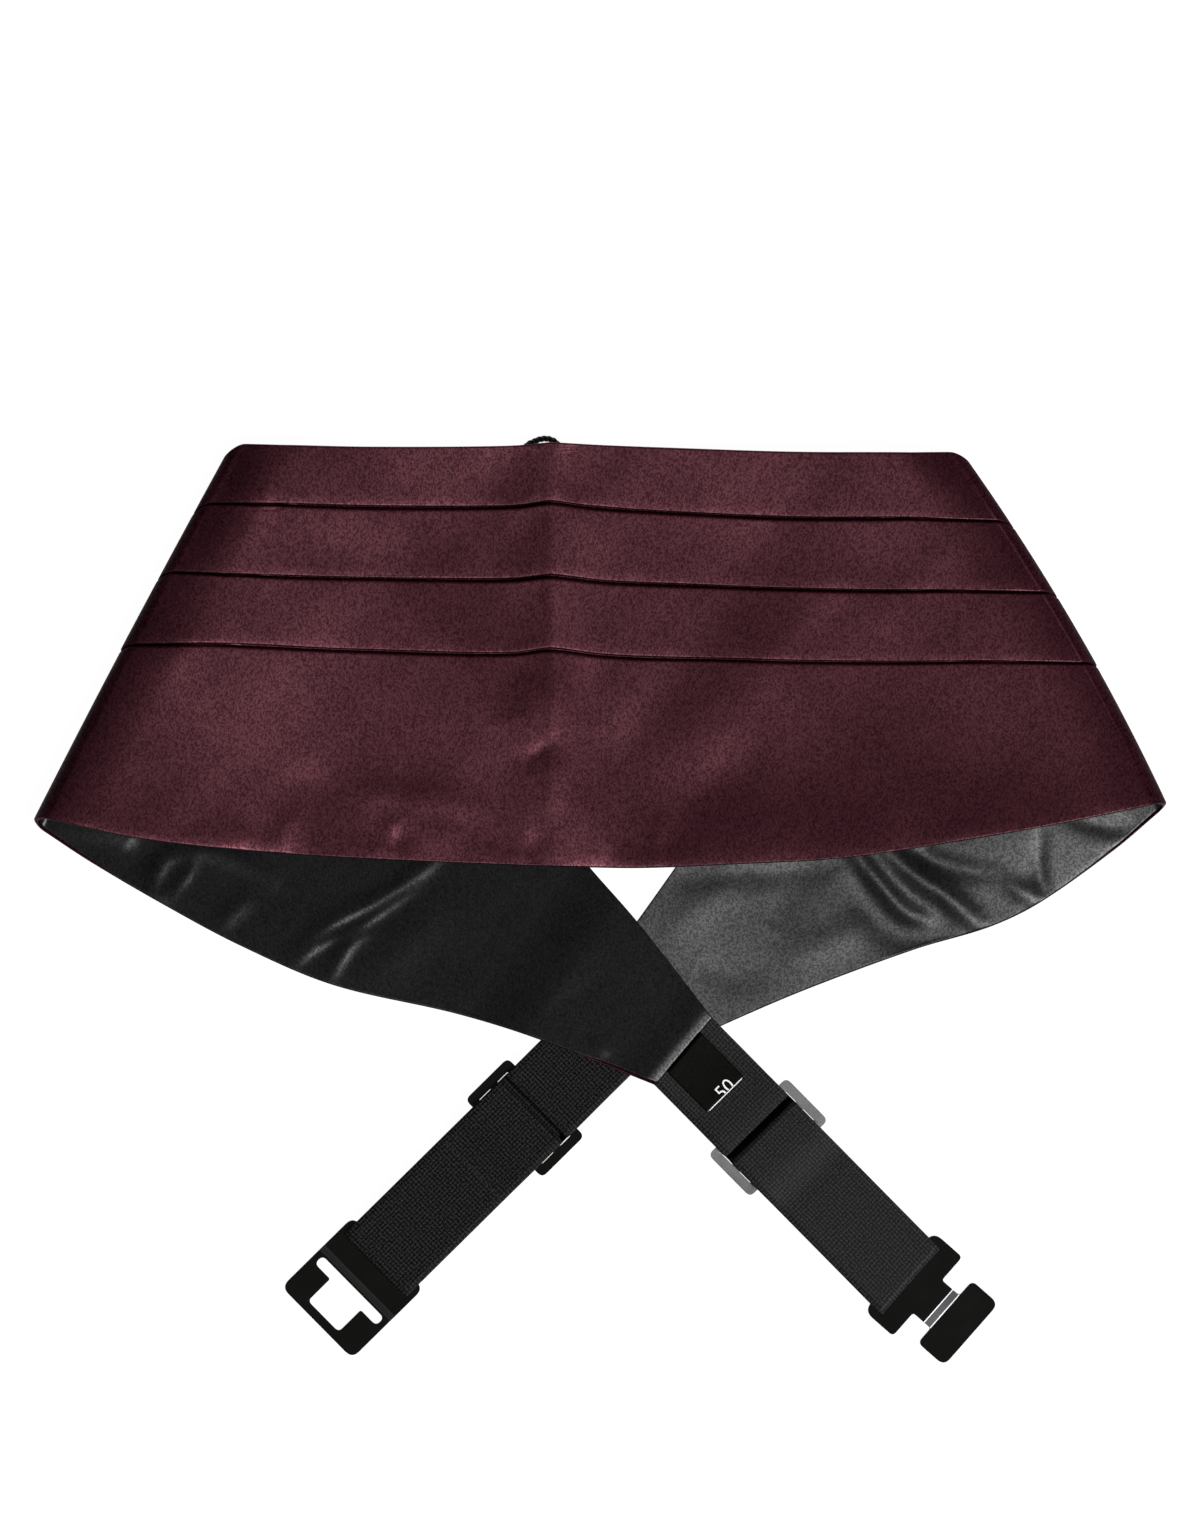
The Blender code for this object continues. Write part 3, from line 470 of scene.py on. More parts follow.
def size(label, text, default, unit="LENGTH"):
    """A size property: metres for lengths, plain for shares."""
    if unit == "LENGTH":
        return FloatProperty(name=label, description=text, default=default * MM, unit=unit,
                             min=0.0, precision=5)
    return FloatProperty(name=label, description=text, default=default, min=0.0, subtype="FACTOR")


def colour(label, text, hex_colour):
    return FloatVectorProperty(name=label, description=text, default=linear(hex_colour),
                               subtype="COLOR", size=3, min=0.0, max=1.0)


class CummerbundSizes(bpy.types.PropertyGroup):
    pleat_step: size("Pleat step", "Height of each pleat's fold over the strip below", 1.3)
    satin_wall: size("Satin thickness", "Thickness of the interlined satin", 0.95)
    lining_wall: size("Lining thickness", "Thickness of the lining with its seam allowance", 0.8)
    crease_strength: size("Crease strength", "Share of the hand-placed creases' height", 1.0,
                          "NONE")
    rib_pitch: size("Rib pitch", "Spacing of the elastic's crosswise ribs", 1.1)
    strand: size("Cord strand", "Thickness of each strand of the button loop", 0.9)
    plate_edge: size("Plate edge", "Rounding of the stamped fittings' edges", 0.3)
    thread: size("Thread", "Thickness of the sewing thread", 0.26)
    stitch: size("Stitch", "Length of one stitch", 1.7)
    number: StringProperty(name="Number", description="Plain number on the label", default="50")


class CummerbundColours(bpy.types.PropertyGroup):
    satin_shade: colour("Satin, shaded", "Wine satin between its floats", "130307")
    satin_light: colour("Satin, lit", "Wine satin on its floats", "2c1018")
    satin_gloss: colour("Satin gloss", "Tint of the light that the wine floats throw", "ffa2b2")
    lining_shade: colour("Lining, shaded", "Black lining between its floats", "0a0a0b")
    lining_light: colour("Lining, lit", "Black lining on its floats", "19191b")
    lining_gloss: colour("Lining gloss", "Tint of the light that the black floats throw",
                         "ffffff")
    elastic_shade: colour("Elastic, shaded", "Black elastic between its ribs", "040405")
    elastic_light: colour("Elastic, lit", "Black elastic on its ribs", "2d2d2e")
    cord: colour("Cord", "Black rayon cord", "101012")
    enamel: colour("Black enamel", "Stoved black finish of the fittings", "060504")
    # Enamel painted lighter over the step of the eye plate: painted sheen on its slope.
    step_sheen: colour("Rubbed enamel", "Enamel over the bend of the eye plate", "100f0e")
    # Grey painted on the right slider's faces, which are black enamel like the left one's: a
    # painted reflection of the lamp.
    painted_reflection: colour("Grey nickel", "Satin nickel of the right slider", "787878")
    brass: colour("Bare brass", "Brass where the finish has worn off an edge", "6e5a38")
    # Steel painted brighter at the bends of the hook's neck: painted highlights.
    steel: colour("Bare steel", "Bright steel at the bends of the hook's neck", "e0e0e2")
    dull_steel: colour("Dull steel", "Steel between the bends of the hook's neck", "58585a")
    label: colour("Label", "Black woven label", "060605")
    white_thread: colour("White thread", "White threads of the label", "dedede")
    table: colour("Table", "Opal acrylic of the lit table, unlit", "606060")


# ---------------------------------------------------------------------------- curves and fields

def unit(vector):
    return vector / np.linalg.norm(vector)


def blend(a, b, t):
    return a + (b - a) * t


def smoothstep(t):
    t = np.clip(t, 0.0, 1.0)
    return t * t * (3.0 - 2.0 * t)


def bell(distance):
    return np.exp(-0.5 * distance * distance)


def hermite(a, b, slope_a, slope_b, t):
    """Cubic from a to b with the given slopes over the whole step."""
    t2 = t * t
    t3 = t2 * t
    return (a * (2 * t3 - 3 * t2 + 1) + slope_a * (t3 - 2 * t2 + t)
            + b * (3 * t2 - 2 * t3) + slope_b * (t3 - t2))


def through(marks, values, mark):
    """Value at a mark on the smooth curve through the values."""
    index = 0
    while index < len(marks) - 2 and marks[index + 1] < mark:
        index += 1
    span = marks[index + 1] - marks[index]

    def slope(at):
        low = max(at - 1, 0)
        high = min(at + 1, len(marks) - 1)
        return (values[high] - values[low]) / (marks[high] - marks[low])

    return hermite(values[index], values[index + 1], slope(index) * span,
                   slope(index + 1) * span, (mark - marks[index]) / span)


def lengths(points):
    """Distance of each point along the line through them."""
    return np.concatenate([[0.0], np.cumsum(np.linalg.norm(np.diff(points, axis=0), axis=1))])


def asides(line):
    """The direction square to a plane line at each of its points."""
    run = np.gradient(line, axis=0)
    side = np.column_stack([-run[:, 1], run[:, 0]])
    return side / np.linalg.norm(side, axis=1)[:, None]


def along(points, fraction):
    """The point a fraction of the way along the smooth curve through the points."""
    points = np.asarray(points, float)
    marks = lengths(points)
    return through(marks, points, fraction * marks[-1])


@cache
def crease_line(crease):
    """Points along a crease, close together for its width."""
    course = np.array(crease.course)
    steps = int(max(CREASE_STEPS, lengths(course)[-1]
                    / min(CREASE_STEP_SHARE * crease.width, CREASE_STEP)))
    return steps, np.array([along(course, step / steps) for step in range(steps + 1)])


def relief(creases, flat):
    """Height of the listed creases at flat points."""
    total = np.zeros(flat.shape[:-1])
    for crease in creases:
        steps, line = crease_line(crease)
        reach = CREASE_REACH * crease.width
        near = ((flat > line.min(axis=0) - reach) & (flat < line.max(axis=0) + reach)).all(-1)
        gaps = np.linalg.norm(flat[near][:, None, :] - line[None], axis=2)
        nearest = gaps.argmin(axis=1)
        distance = gaps[np.arange(len(nearest)), nearest]
        fade = np.sin(math.pi * (nearest + 0.5) / (steps + 1)) ** CREASE_FADE
        total[near] += crease.height * fade * bell(distance / crease.width)
    return total


def swell(flat):
    """Slow uneven swells of cloth that lies without being pressed."""
    total = np.zeros(flat.shape[:-1])
    bending, share = SWELL_BEND
    for across, up, phase, height in SWELLS:
        bend = bending * np.sin(flat[..., 0] * up * share + flat[..., 1] * across)
        total += height * np.sin(flat[..., 0] * across + flat[..., 1] * up + phase + bend)
    return total


# ------------------------------------------------------------------------------ the cloth band

Turn = namedtuple("Turn", "start finish drop cut slope_in slope_out")
Section = namedtuple("Section", "top hem bulge level out lift lap marks cut full ending rim")


def roll_curve(turned):
    """The side roll seen end on: how far out it reaches, and its height as a share."""
    start = math.radians(ROLL_START)
    angle = start + (math.pi - start) * turned
    out = math.sin(angle) - math.sin(start) * (1 - turned)
    return np.array((out, (1 + math.cos(angle)) / (1 + math.cos(start))))


ROLL_SIZE = np.array((BEND_RADIUS / max(roll_curve(step / 100)[0] for step in range(101)),
                      sum(ROLL_CREST) / 2 - ROLL_DROP - TAIL_LEVEL))


def roll_run(turned):
    """Change of the roll's reach and height over its whole turn, at one place."""
    step = 0.001
    return (roll_curve(turned + step) - roll_curve(turned - step)) * ROLL_SIZE / (2 * step)


def roll_speed(turned):
    return abs(roll_run(turned)[0])


class Side:
    """One half of the band, with the frame of its fold line."""

    def __init__(self, half, sign):
        self.sign = sign
        self.bulge = half.bulge
        self.corner_top = np.array(half.corner_top)
        corner_hem = np.array(half.corner_hem)
        self.up = unit(self.corner_top - corner_hem)
        self.inward = np.array((-sign * abs(self.up[1]), -abs(self.up[0])))
        self.top_turn = self.edge_turn(self.corner_top, half.front_top[-1], half.tail_top[0],
                                       half.drop_top, half.round_top)
        self.hem_turn = self.edge_turn(corner_hem, half.front_hem[-1], half.tail_hem[0],
                                       half.drop_hem, 0.0)
        self.front_top = np.array(half.front_top + (tuple(self.top_turn.start),))
        self.front_hem = np.array(half.front_hem + (tuple(self.hem_turn.start),))
        self.tail_top = np.array((tuple(self.top_turn.finish),) + half.tail_top)
        self.tail_hem = np.array((tuple(self.hem_turn.finish),) + half.tail_hem)
        run = unit(self.tail_top[-1] - self.tail_top[0])
        self.tail_inside = np.array((sign * -run[1], sign * run[0]))

    def edge_turn(self, corner, front_point, tail_point, drop, cut):
        """How an edge of the band crosses the fold: its start, finish and slopes."""
        run_in = unit(np.array(front_point) - corner)
        start = corner + run_in * (BEND_OUTER / run_in.dot(self.inward))
        finish = start - self.up * drop
        run_out = unit(np.array(tail_point) - finish)
        slope_in = -run_in.dot(self.up) / run_in.dot(self.inward) * roll_speed(0.0)
        slope_out = run_out.dot(self.up) / run_out.dot(self.inward) * roll_speed(1.0)
        return Turn(start, finish, drop, cut, slope_in, slope_out)

    def inset(self, flat, parts):
        """Distance in from the line where the fold begins."""
        return (flat - self.corner_top) @ self.inward + self.bulge * 4 * parts * (1 - parts) \
            - BEND_OUTER

    def over_tail(self, flat):
        """Distance inside the upper edge of this side's tail; negative beyond it."""
        return (flat - self.tail_top[-1]) @ self.tail_inside

    def unfolded(self, flat, distance):
        """Where points lie on the flat cut, at a distance in from the corner's fold line."""
        up = (flat - self.corner_top) @ self.up
        return (self.corner_top + np.multiply.outer(up, self.up)
                + np.multiply.outer(distance, self.inward))


def shoulder_share(inset):
    """How far down the shoulder of the roll a place is, from where it starts to the fold."""
    return np.clip(1.0 - inset / ROLL_SHOULDER, 0.0, 1.0)


def front_level(flat, parts, side):
    """Height of the front's middle surface: on the tails, in the hollow, up to the fold."""
    rest = np.maximum(*(smoothstep((half.over_tail(flat) + SUPPORT_MARGIN + SUPPORT_RAMP)
                                   / SUPPORT_RAMP) for half in SIDES))
    lying = blend(HOLLOW_LEVEL, OVER_TAIL_LEVEL, rest)
    lying += CREASE_HEIGHT * bell((flat[:, 0] - CREASE_X) / CREASE_SPREAD)
    lying += relief(FRONT_LIFTS, flat)
    inset = side.inset(flat, parts)
    shoulder = shoulder_share(inset)
    rise = 1.0 - smoothstep(inset / ROLL_REACH)
    lying = blend(lying, blend(*ROLL_CREST, parts), rise)
    lying += smoothstep(inset / ROLL_SHOULDER) * relief(SIDE_LIFTS, flat)
    return lying - ROLL_DROP * shoulder * shoulder


def tail_level(flat, side):
    """Height of a tail's middle surface; the left tail climbs over the right one's end."""
    if side.sign > 0:
        return np.full(len(flat), TAIL_LEVEL)
    near = (SIDES[1].over_tail(flat) + CROSSING_MARGIN + CROSSING_RAMP) / CROSSING_RAMP
    return TAIL_LEVEL + CROSSING_LIFT * smoothstep(near)


def pleat_marks(place):
    places = [row.place for row in PLEAT_ROWS]
    return [through(places, [row[column] for row in PLEAT_ROWS], place) - PLEAT_TRIM
            for column in (1, 2, 3)]


def side_lift(place):
    """Share of the pleats' step that is left at a place: the folds press it flat."""
    return blend(1.0, SIDE_LIFT[1], smoothstep((place - SIDE_LIFT[0]) / (1 - SIDE_LIFT[0])))


def front_tilt(side, top, hem):
    """Which way the front faces where it starts to turn down toward the side roll."""
    shoulder = shoulder_share(side.inset(blend(top, hem, 0.5), 0.0))
    return unit(np.append(-side.inward * ROLL_SLOPE * shoulder, 1.0))


def front_section(side, place):
    top, hem = along(side.front_top, place), along(side.front_hem, place)
    ends = (place - LAP_ENDS[0]) / (LAP_ENDS[1] - LAP_ENDS[0])
    return Section(
        top=top,
        hem=hem,
        bulge=-side.inward * side.bulge * smoothstep((place - BULGE_START) / (1 - BULGE_START)),
        level=lambda flat, parts: front_level(flat, parts, side),
        out=front_tilt(side, top, hem),
        lift=side_lift(place),
        lap=blend(PLEAT_LAP, -GAP, smoothstep(ends)),
        marks=pleat_marks(side.sign * place),
        cut=lambda flat: flat,
        full=1.0,
        ending=0.0,
        rim=LINING_INSET_HEM)


def bend_section(side, turned):
    out, share = roll_curve(turned)
    reach = out * ROLL_SIZE[0]
    ends = []
    for edge in (side.top_turn, side.hem_turn):
        slide = hermite(0.0, -edge.drop, edge.slope_in, edge.slope_out, turned)
        slide -= edge.cut * math.sin(math.pi * turned) ** 2
        ends.append(edge.start + side.up * slide - side.inward * reach)
    run = unit(roll_run(turned))
    outward = side.inward * run[1]
    around = BEND_OUTER - math.pi * BEND_RADIUS * turned
    return Section(
        top=ends[0],
        hem=ends[1],
        bulge=-side.inward * side.bulge,
        level=lambda flat, parts: blend(TAIL_LEVEL, blend(*ROLL_CREST, parts) - ROLL_DROP, share),
        out=np.array((outward[0], outward[1], run[0])),
        lift=side_lift(1.0) * (1.0 - smoothstep(turned / LIFT_ENDS)),
        lap=-GAP,
        marks=pleat_marks(side.sign),
        cut=lambda flat: side.unfolded(flat, np.full(len(flat), around)),
        full=1.0,
        ending=0.0,
        rim=LINING_INSET_HEM)


def seam_rise(left):
    """How much the seam at a tail's end thickens it, some millimetres in from the end."""
    height, crest, reach, rounding = SEAM_RIDGE
    if left > crest:
        return height * bell((left - crest) / reach)
    return height * (1 - (1 - left / crest) ** rounding)


def tail_section(side, place, full, left):
    """Section along the tail, from the fold to its end, which is some millimetres further."""
    def unfolded(flat):
        inward = (flat - side.corner_top) @ side.inward
        return side.unfolded(flat, 2 * BEND_OUTER - math.pi * BEND_RADIUS - inward)

    return Section(
        top=along(side.tail_top, place),
        hem=along(side.tail_hem, place),
        bulge=-side.inward * side.bulge * (1 - smoothstep(place / BULGE_END)),
        level=lambda flat, parts: tail_level(flat, side),
        out=np.array((0.0, 0.0, -1.0)),
        lift=0.0,
        lap=-GAP,
        marks=pleat_marks(side.sign),
        cut=unfolded,
        full=full,
        ending=seam_rise(left),
        rim=blend(LINING_INSET_HEM, TAIL_INSET, smoothstep(left / RIM_REACH - 1)
                  * smoothstep(place / BULGE_END)))


def half_band(side):
    """Sections of one half, from just past the centre crease to the end of the tail."""
    front = round(lengths(side.front_hem)[-1] / FRONT_SPACING)
    tail_length = lengths(side.tail_top)[-1]
    tail = round(tail_length / TAIL_SPACING)
    sections = [front_section(side, step / front) for step in range(1, front + 1)]
    sections += [bend_section(side, step / BEND_SECTIONS) for step in range(1, BEND_SECTIONS + 1)]
    for step in range(1, tail - 1):
        left = tail_length * (1 - step / tail)
        sections.append(tail_section(side, step / tail, 1.0, left))
    for left, full in END_ROWS:
        sections.append(tail_section(side, 1 - left / tail_length, full, left))
    return sections


def strip_faces(section, index, sizes):
    """Parts across one satin strip, with the heights of its outer and inner face."""
    height = np.linalg.norm(section.top - section.hem)
    upper = section.marks[index - 1] if index else 0.0
    lower = section.marks[index] if index < 3 else 1.0
    start = upper - section.lap / height if index else 0.0
    lapped = (section.lap + GAP) / (PLEAT_LAP + GAP) if index else 0.0
    first = blend(np.linspace(*FLAT_ROWS, len(GROOVE_ROWS)), np.array(GROOVE_ROWS), lapped)
    count = PLEAT_ROW_COUNT if index < 3 else PANEL_ROW_COUNT
    parts = spread_rows(start, lower, height, count, upper + first / height)
    below = (parts - upper) * height
    above = (lower - parts) * height
    step = sizes.pleat_step / MM * section.lift
    lift = step * smoothstep((below - RISE_START) / STRIP_RISE)
    if index == 3:
        lift *= PANEL_RISE[0] * (1 - smoothstep(below / PANEL_RISE[1]))
    # The top pleat's seam allowance, turned in under it, fills out its upper edge.
    outer = SATIN_INSIDE + sizes.satin_wall / MM + (lift if index else step)
    inner = SATIN_INSIDE + lift
    drop, reach = EDGE_DROP
    outer = outer - section.lift * drop * np.clip(1 - above / reach, 0.0, 1.0) ** 2
    if index:
        depth, place, spread = GROOVE
        outer -= section.lift * lapped * depth * bell((below - place) / spread)
    if index == 3:
        inner = inner - HEM_RIM[0] * smoothstep(1 - above / HEM_RIM[1])
    return parts, *rounded_faces(section, parts, height, outer, inner)


def lining_faces(section, sizes):
    height = np.linalg.norm(section.top - section.hem)
    parts = spread_rows(LINING_INSET_TOP / height, 1 - section.rim / height, height,
                        LINING_ROW_COUNT, np.array(()))
    near = np.full(len(parts), LINING_OUTSIDE)
    far = near - sizes.lining_wall / MM - section.ending
    return parts, *rounded_faces(section, parts, height, near, far)


def spread_rows(start, end, height, count, first):
    """Parts from start to end, closer together at both edges, and through some first rows."""
    edge = np.array(EDGE_ROWS) / height
    middle_start = first[-1] if len(first) else start + edge[-1]
    middle = np.linspace(middle_start, end - edge[-1], count + 2)[1:-1]
    return np.concatenate([start + edge, first, middle, (end - edge)[::-1]])


def rounded_faces(section, parts, height, outer, inner):
    """The two faces drawn together in a half round at each edge."""
    edge = np.minimum(parts - parts[0], parts[-1] - parts) * height
    inside = np.clip(1 - edge / EDGE_ROUNDING, 0.0, 1.0)
    half = (outer - inner) / 2 * np.sqrt(1 - inside * inside) * section.full
    middle = (outer + inner) / 2
    return middle + half, middle - half


def thinned(front_step, tail_step):
    """The band's sections, with only every so many of those on the front and on the tails."""
    kept = []
    for at, section in enumerate(SECTIONS):
        step = {1.0: front_step, -1.0: tail_step}.get(section.out[2], 1)
        if section.full < 1.0 or at % step == 0:
            kept.append(section)
    return kept


def band_piece(faces, sections, creases, facing, swelling):
    """Points of both faces and of the flat cut, for every section of the band."""
    outer, inner, cut = [], [], []
    for section in sections:
        parts, over, under = faces(section)
        flat = section.top + np.multiply.outer(parts, section.hem - section.top)
        flat = flat + np.multiply.outer(4 * parts * (1 - parts), section.bulge)
        level = section.level(flat, parts)
        middle = np.column_stack([flat, level])
        outer.append(middle + np.multiply.outer(over, section.out))
        inner.append(middle + np.multiply.outer(under, section.out))
        cut.append(section.cut(flat))
    outer, inner, cut = np.array(outer), np.array(inner), np.array(cut)
    turned = np.array([max(facing * section.out[2], 0.0) for section in sections])
    edge = smoothstep(np.minimum(np.arange(outer.shape[1]), np.arange(outer.shape[1])[::-1])
                      / (EDGE_ROWS_SHARE * outer.shape[1]))
    share = np.multiply.outer(turned, blend(EDGE_CREASES, 1.0, edge))
    strength = bpy.context.scene.cummerbund_sizes.crease_strength
    rise = share * strength * (relief(creases, outer[..., :2])
                               + swelling * swell(outer[..., :2]))
    outer[..., 2] += rise
    inner[..., 2] += rise
    return outer, inner, cut


# ------------------------------------------------------------------------------- mesh building

def finish_piece(name, mesh, materials, slot, nodes):
    """Link a mesh as a piece that rides on the one body and stands for its nodes."""
    for item in materials:
        mesh.materials.append(item)
    made = bpy.data.objects.new(name, mesh)
    bpy.context.scene.collection.objects.link(made)
    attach(made, "root")
    if nodes:
        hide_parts(*nodes)
    return made


def mesh_from(name, points, faces, cut=None):
    """Mesh of drawing points, closed and facing out, with the flat cut as its UV map."""
    mesh = bpy.data.meshes.new(name)
    world = np.array(points, float)
    world[:, :2] += DRAWING_SHIFT
    mesh.from_pydata((world * MM).tolist(), [], faces)
    shape = bmesh.new()
    shape.from_mesh(mesh)
    bmesh.ops.recalc_face_normals(shape, faces=shape.faces)
    shape.to_mesh(mesh)
    shape.free()
    mesh.shade_smooth()
    if cut is not None:
        layer = mesh.uv_layers.new(name=CUT_MAP)
        corners = np.zeros(len(mesh.loops), int)
        mesh.loops.foreach_get("vertex_index", corners)
        layer.uv.foreach_set("vector", np.asarray(cut, float)[corners].ravel())
    return mesh


def wall_mesh(name, outer, inner, cut):
    """Closed wall between two faces of sections, which meet at both of their edges."""
    sections, rows = outer.shape[:2]
    ring = 2 * rows - 2
    points = np.concatenate([outer, inner[:, -2:0:-1]], axis=1).reshape(-1, 3)
    cuts = np.concatenate([cut, cut[:, -2:0:-1]], axis=1).reshape(-1, 2)
    first = np.arange(sections - 1)[:, None] * ring
    here = np.arange(ring)[None]
    there = (here + 1) % ring
    faces = np.stack([first + here, first + there, first + ring + there, first + ring + here],
                     axis=2).reshape(-1, 4).tolist()
    for base in (0, (sections - 1) * ring):
        under = [base] + [base + ring - at for at in range(1, rows - 1)] + [base + rows - 1]
        for at in range(rows - 1):
            corners = [base + at, base + at + 1, under[at + 1], under[at]]
            faces.append(list(dict.fromkeys(corners)))
    return mesh_from(name, points, faces, cuts)


def cloth_piece(name, faces, cloth, slot, node):
    return finish_piece(name, wall_mesh(name, *faces), [cloth], slot, [node])


def thread_piece(name, shape, thread, slot, nodes=()):
    return finish_piece(name, mesh_from(name, *shape), [thread], slot, nodes)


def tube(line, radius, sides=8):
    """Points and faces of a tube along a line, with domed ends."""
    line = np.asarray(line, float)
    run = np.gradient(line, axis=0)
    run /= np.linalg.norm(run, axis=1)[:, None]
    steady = np.array((0.0, 0.0, 1.0)) if abs(run[:, 2]).max() < 0.9 else np.array((1.0, 0, 0))
    side = np.cross(run, steady)
    side /= np.linalg.norm(side, axis=1)[:, None]
    up = np.cross(side, run)
    radii = np.full(len(line), radius, float)
    for ring, share in enumerate(TUBE_DOME):
        radii[[ring, -1 - ring]] *= share
    points = []
    for at in range(sides):
        angle = 2 * math.pi * at / sides
        points.append(line + radii[:, None] * (side * math.cos(angle) + up * math.sin(angle)))
    points = np.stack(points, axis=1).reshape(-1, 3)
    faces = []
    for step in range(len(line) - 1):
        for at in range(sides):
            after = (at + 1) % sides
            faces.append([step * sides + at, step * sides + after,
                          (step + 1) * sides + after, (step + 1) * sides + at])
    faces.append(list(range(sides)))
    faces.append([len(points) - sides + at for at in range(sides)])
    return points, faces


def joined(shapes):
    points, faces = [], []
    for more_points, more_faces in shapes:
        base = sum(len(part) for part in points)
        points.append(more_points)
        faces += [[base + corner for corner in face] for face in more_faces]
    return np.concatenate(points), faces


# ------------------------------------------------------------------------------------- straps

class Course:
    """The course of one strap over the floor."""

    def __init__(self, strap):
        self.strap = strap
        heading = math.radians(strap.heading)
        self.along = np.array((math.cos(heading), math.sin(heading)))
        self.across = np.array((-self.along[1], self.along[0]))
        self.start = np.array(strap.start)
        edge = np.array(strap.edge)
        self.edge_slant = edge.dot(self.along) / edge.dot(self.across)
        self.plate_slant = -math.tan(math.radians(strap.turn))

    def points(self, distance, across, level):
        """Points at distances along the strap, across it and over the floor."""
        leaving = 1.0 - smoothstep(distance / EDGE_TURN_REACH)
        arriving = smoothstep((distance - self.strap.reach + PLATE_TURN_START)
                              / PLATE_TURN_REACH)
        run = distance + across * (self.edge_slant * leaving + self.plate_slant * arriving)
        flat = (self.start + np.multiply.outer(run, self.along)
                + np.multiply.outer(across, self.across))
        return np.concatenate([flat, np.asarray(level)[..., None]], axis=-1)


def arc(centre, level, radius, start, finish):
    steps = max(3, round(abs(finish - start) / ARC_STEP))
    angles = np.radians(np.linspace(start, finish, steps + 1))
    return np.column_stack([centre + radius * np.cos(angles), level + radius * np.sin(angles)])


def stretch(rows):
    """Points on the smooth curve through the rows, without its two ends."""
    steps = max(2, round(lengths(np.array(rows))[-1] / PATH_STEP))
    return np.array([along(rows, step / steps) for step in range(1, steps)])


def elastic_path(course):
    """Middle line of the elastic, as distance and level, from its tail to its sewn end."""
    strap = course.strap
    first_bar = strap.slider + SLIDER_END_BAR
    dive_end = first_bar + 2 * DIVE_RADIUS
    plate_turn = (OVER_PLATE - LOWER_LAYER) / 2
    plate_middle = (OVER_PLATE + LOWER_LAYER) / 2
    plate_centre = strap.reach + SLOT_FILL - plate_turn - ELASTIC_WALL / 2
    wrap_turn = (OVER_SLIDER - SEWN_LAYER) / 2
    wrap_middle = (OVER_SLIDER + SEWN_LAYER) / 2
    wrap_centre = first_bar + SLIDER_FIRST_WINDOW + WRAP_INSET
    slider_end = strap.slider + SLIDER_LENGTH
    sewn_end = slider_end + SEWN_END
    return np.concatenate([
        [strap.lead[0]], stretch(strap.lead), [strap.lead[-1]],
        arc(first_bar, SLIDER_TOP, DIVE_RADIUS, 90, 0),
        arc(dive_end, LOWER_LAYER + DIVE_RADIUS, DIVE_RADIUS, 180, 270),
        stretch([(dive_end, LOWER_LAYER), (plate_centre, LOWER_LAYER)]),
        arc(plate_centre, plate_middle, plate_turn, -90, 90),
        stretch([(plate_centre, OVER_PLATE), (plate_centre - PLATE_LEAVING, OVER_PLATE),
                 (sewn_end, UPPER_LAYER), (slider_end + SEWN_LEAVING, UPPER_LAYER),
                 (slider_end + SLIDER_LEAVING, OVER_SLIDER), (wrap_centre, OVER_SLIDER)]),
        arc(wrap_centre, wrap_middle, wrap_turn, 90, 270),
        stretch([(wrap_centre, SEWN_LAYER), (sewn_end, SEWN_LAYER)]),
        [(sewn_end, SEWN_LAYER)],
    ])


def ribbon(course, path, width, thickness, rows, selvedge):
    """Both faces of a ribbon along a path, rounded at its selvedges, and its flat cut."""
    side = asides(path)
    edge = np.array(EDGE_ROWS)
    across = np.concatenate([-width / 2 + edge,
                             np.linspace(-width / 2 + edge[-1], width / 2 - edge[-1], rows)[1:-1],
                             width / 2 - edge[::-1]])
    inside = width / 2 - np.abs(across)
    half = thickness / 2 * np.sqrt(1 - np.clip(1 - inside / (thickness / 2), 0, 1) ** 2)
    reach, pitch, depth = selvedge
    corded = (smoothstep((reach - inside) / SELVEDGE_FADE[0])
              * smoothstep(inside / SELVEDGE_FADE[1]))
    half = half + depth * corded * np.cos(2 * math.pi * inside / pitch)
    faces = []
    for sign in (1, -1):
        moved = path[:, None, :] + sign * np.multiply.outer(side, half).transpose(0, 2, 1)
        faces.append(course.points(moved[..., 0], np.broadcast_to(across, moved.shape[:2]),
                                   moved[..., 1]))
    marks = lengths(path)
    cut = np.stack(np.broadcast_arrays(marks[:, None], across[None]), axis=2)
    return *faces, cut


def stitch_row(course, distance, level, sizes):
    """A row of stitches straight across a strap."""
    step = sizes.stitch / MM * STITCH_SPACING
    count = int(STITCH_ROW / step)
    t = np.linspace(-1, 1, STITCH_POINTS)
    shapes = []
    for at in range(count):
        across = (at - (count - 1) / 2) * step + t * sizes.stitch / MM / 2
        line = course.points(distance + STITCH_LEAN * t, across, level - STITCH_SINK * t * t)
        shapes.append(tube(line, sizes.thread / MM / 2, 6))
    return joined(shapes)


# ------------------------------------------------------------------------------- metal fittings

def rounded(corners, steps=6):
    """Outline through (x, y, radius) corners, each replaced by a short curve."""
    outline = []
    for at, (x, y, radius) in enumerate(corners):
        corner = np.array((x, y))
        before = unit(np.array(corners[at - 1][:2]) - corner) * radius
        after = unit(np.array(corners[(at + 1) % len(corners)][:2]) - corner) * radius
        for step in range(steps + 1):
            t = step / steps
            outline.append(corner + before * (1 - t) ** 2 + after * t ** 2)
    return outline


def mirrored(places, radii):
    """Outline whose upper half mirrors the lower one, through places with corner radii."""
    lower = [(x, -y, radius) for (x, y), radius in zip(places, radii)]
    return rounded(lower + [(x, -y, radius) for x, y, radius in reversed(lower)])


def box_outline(x_low, x_high, width, radius):
    half = width / 2
    return rounded([(x_low, -half, radius), (x_high, -half, radius),
                    (x_high, half, radius), (x_low, half, radius)])


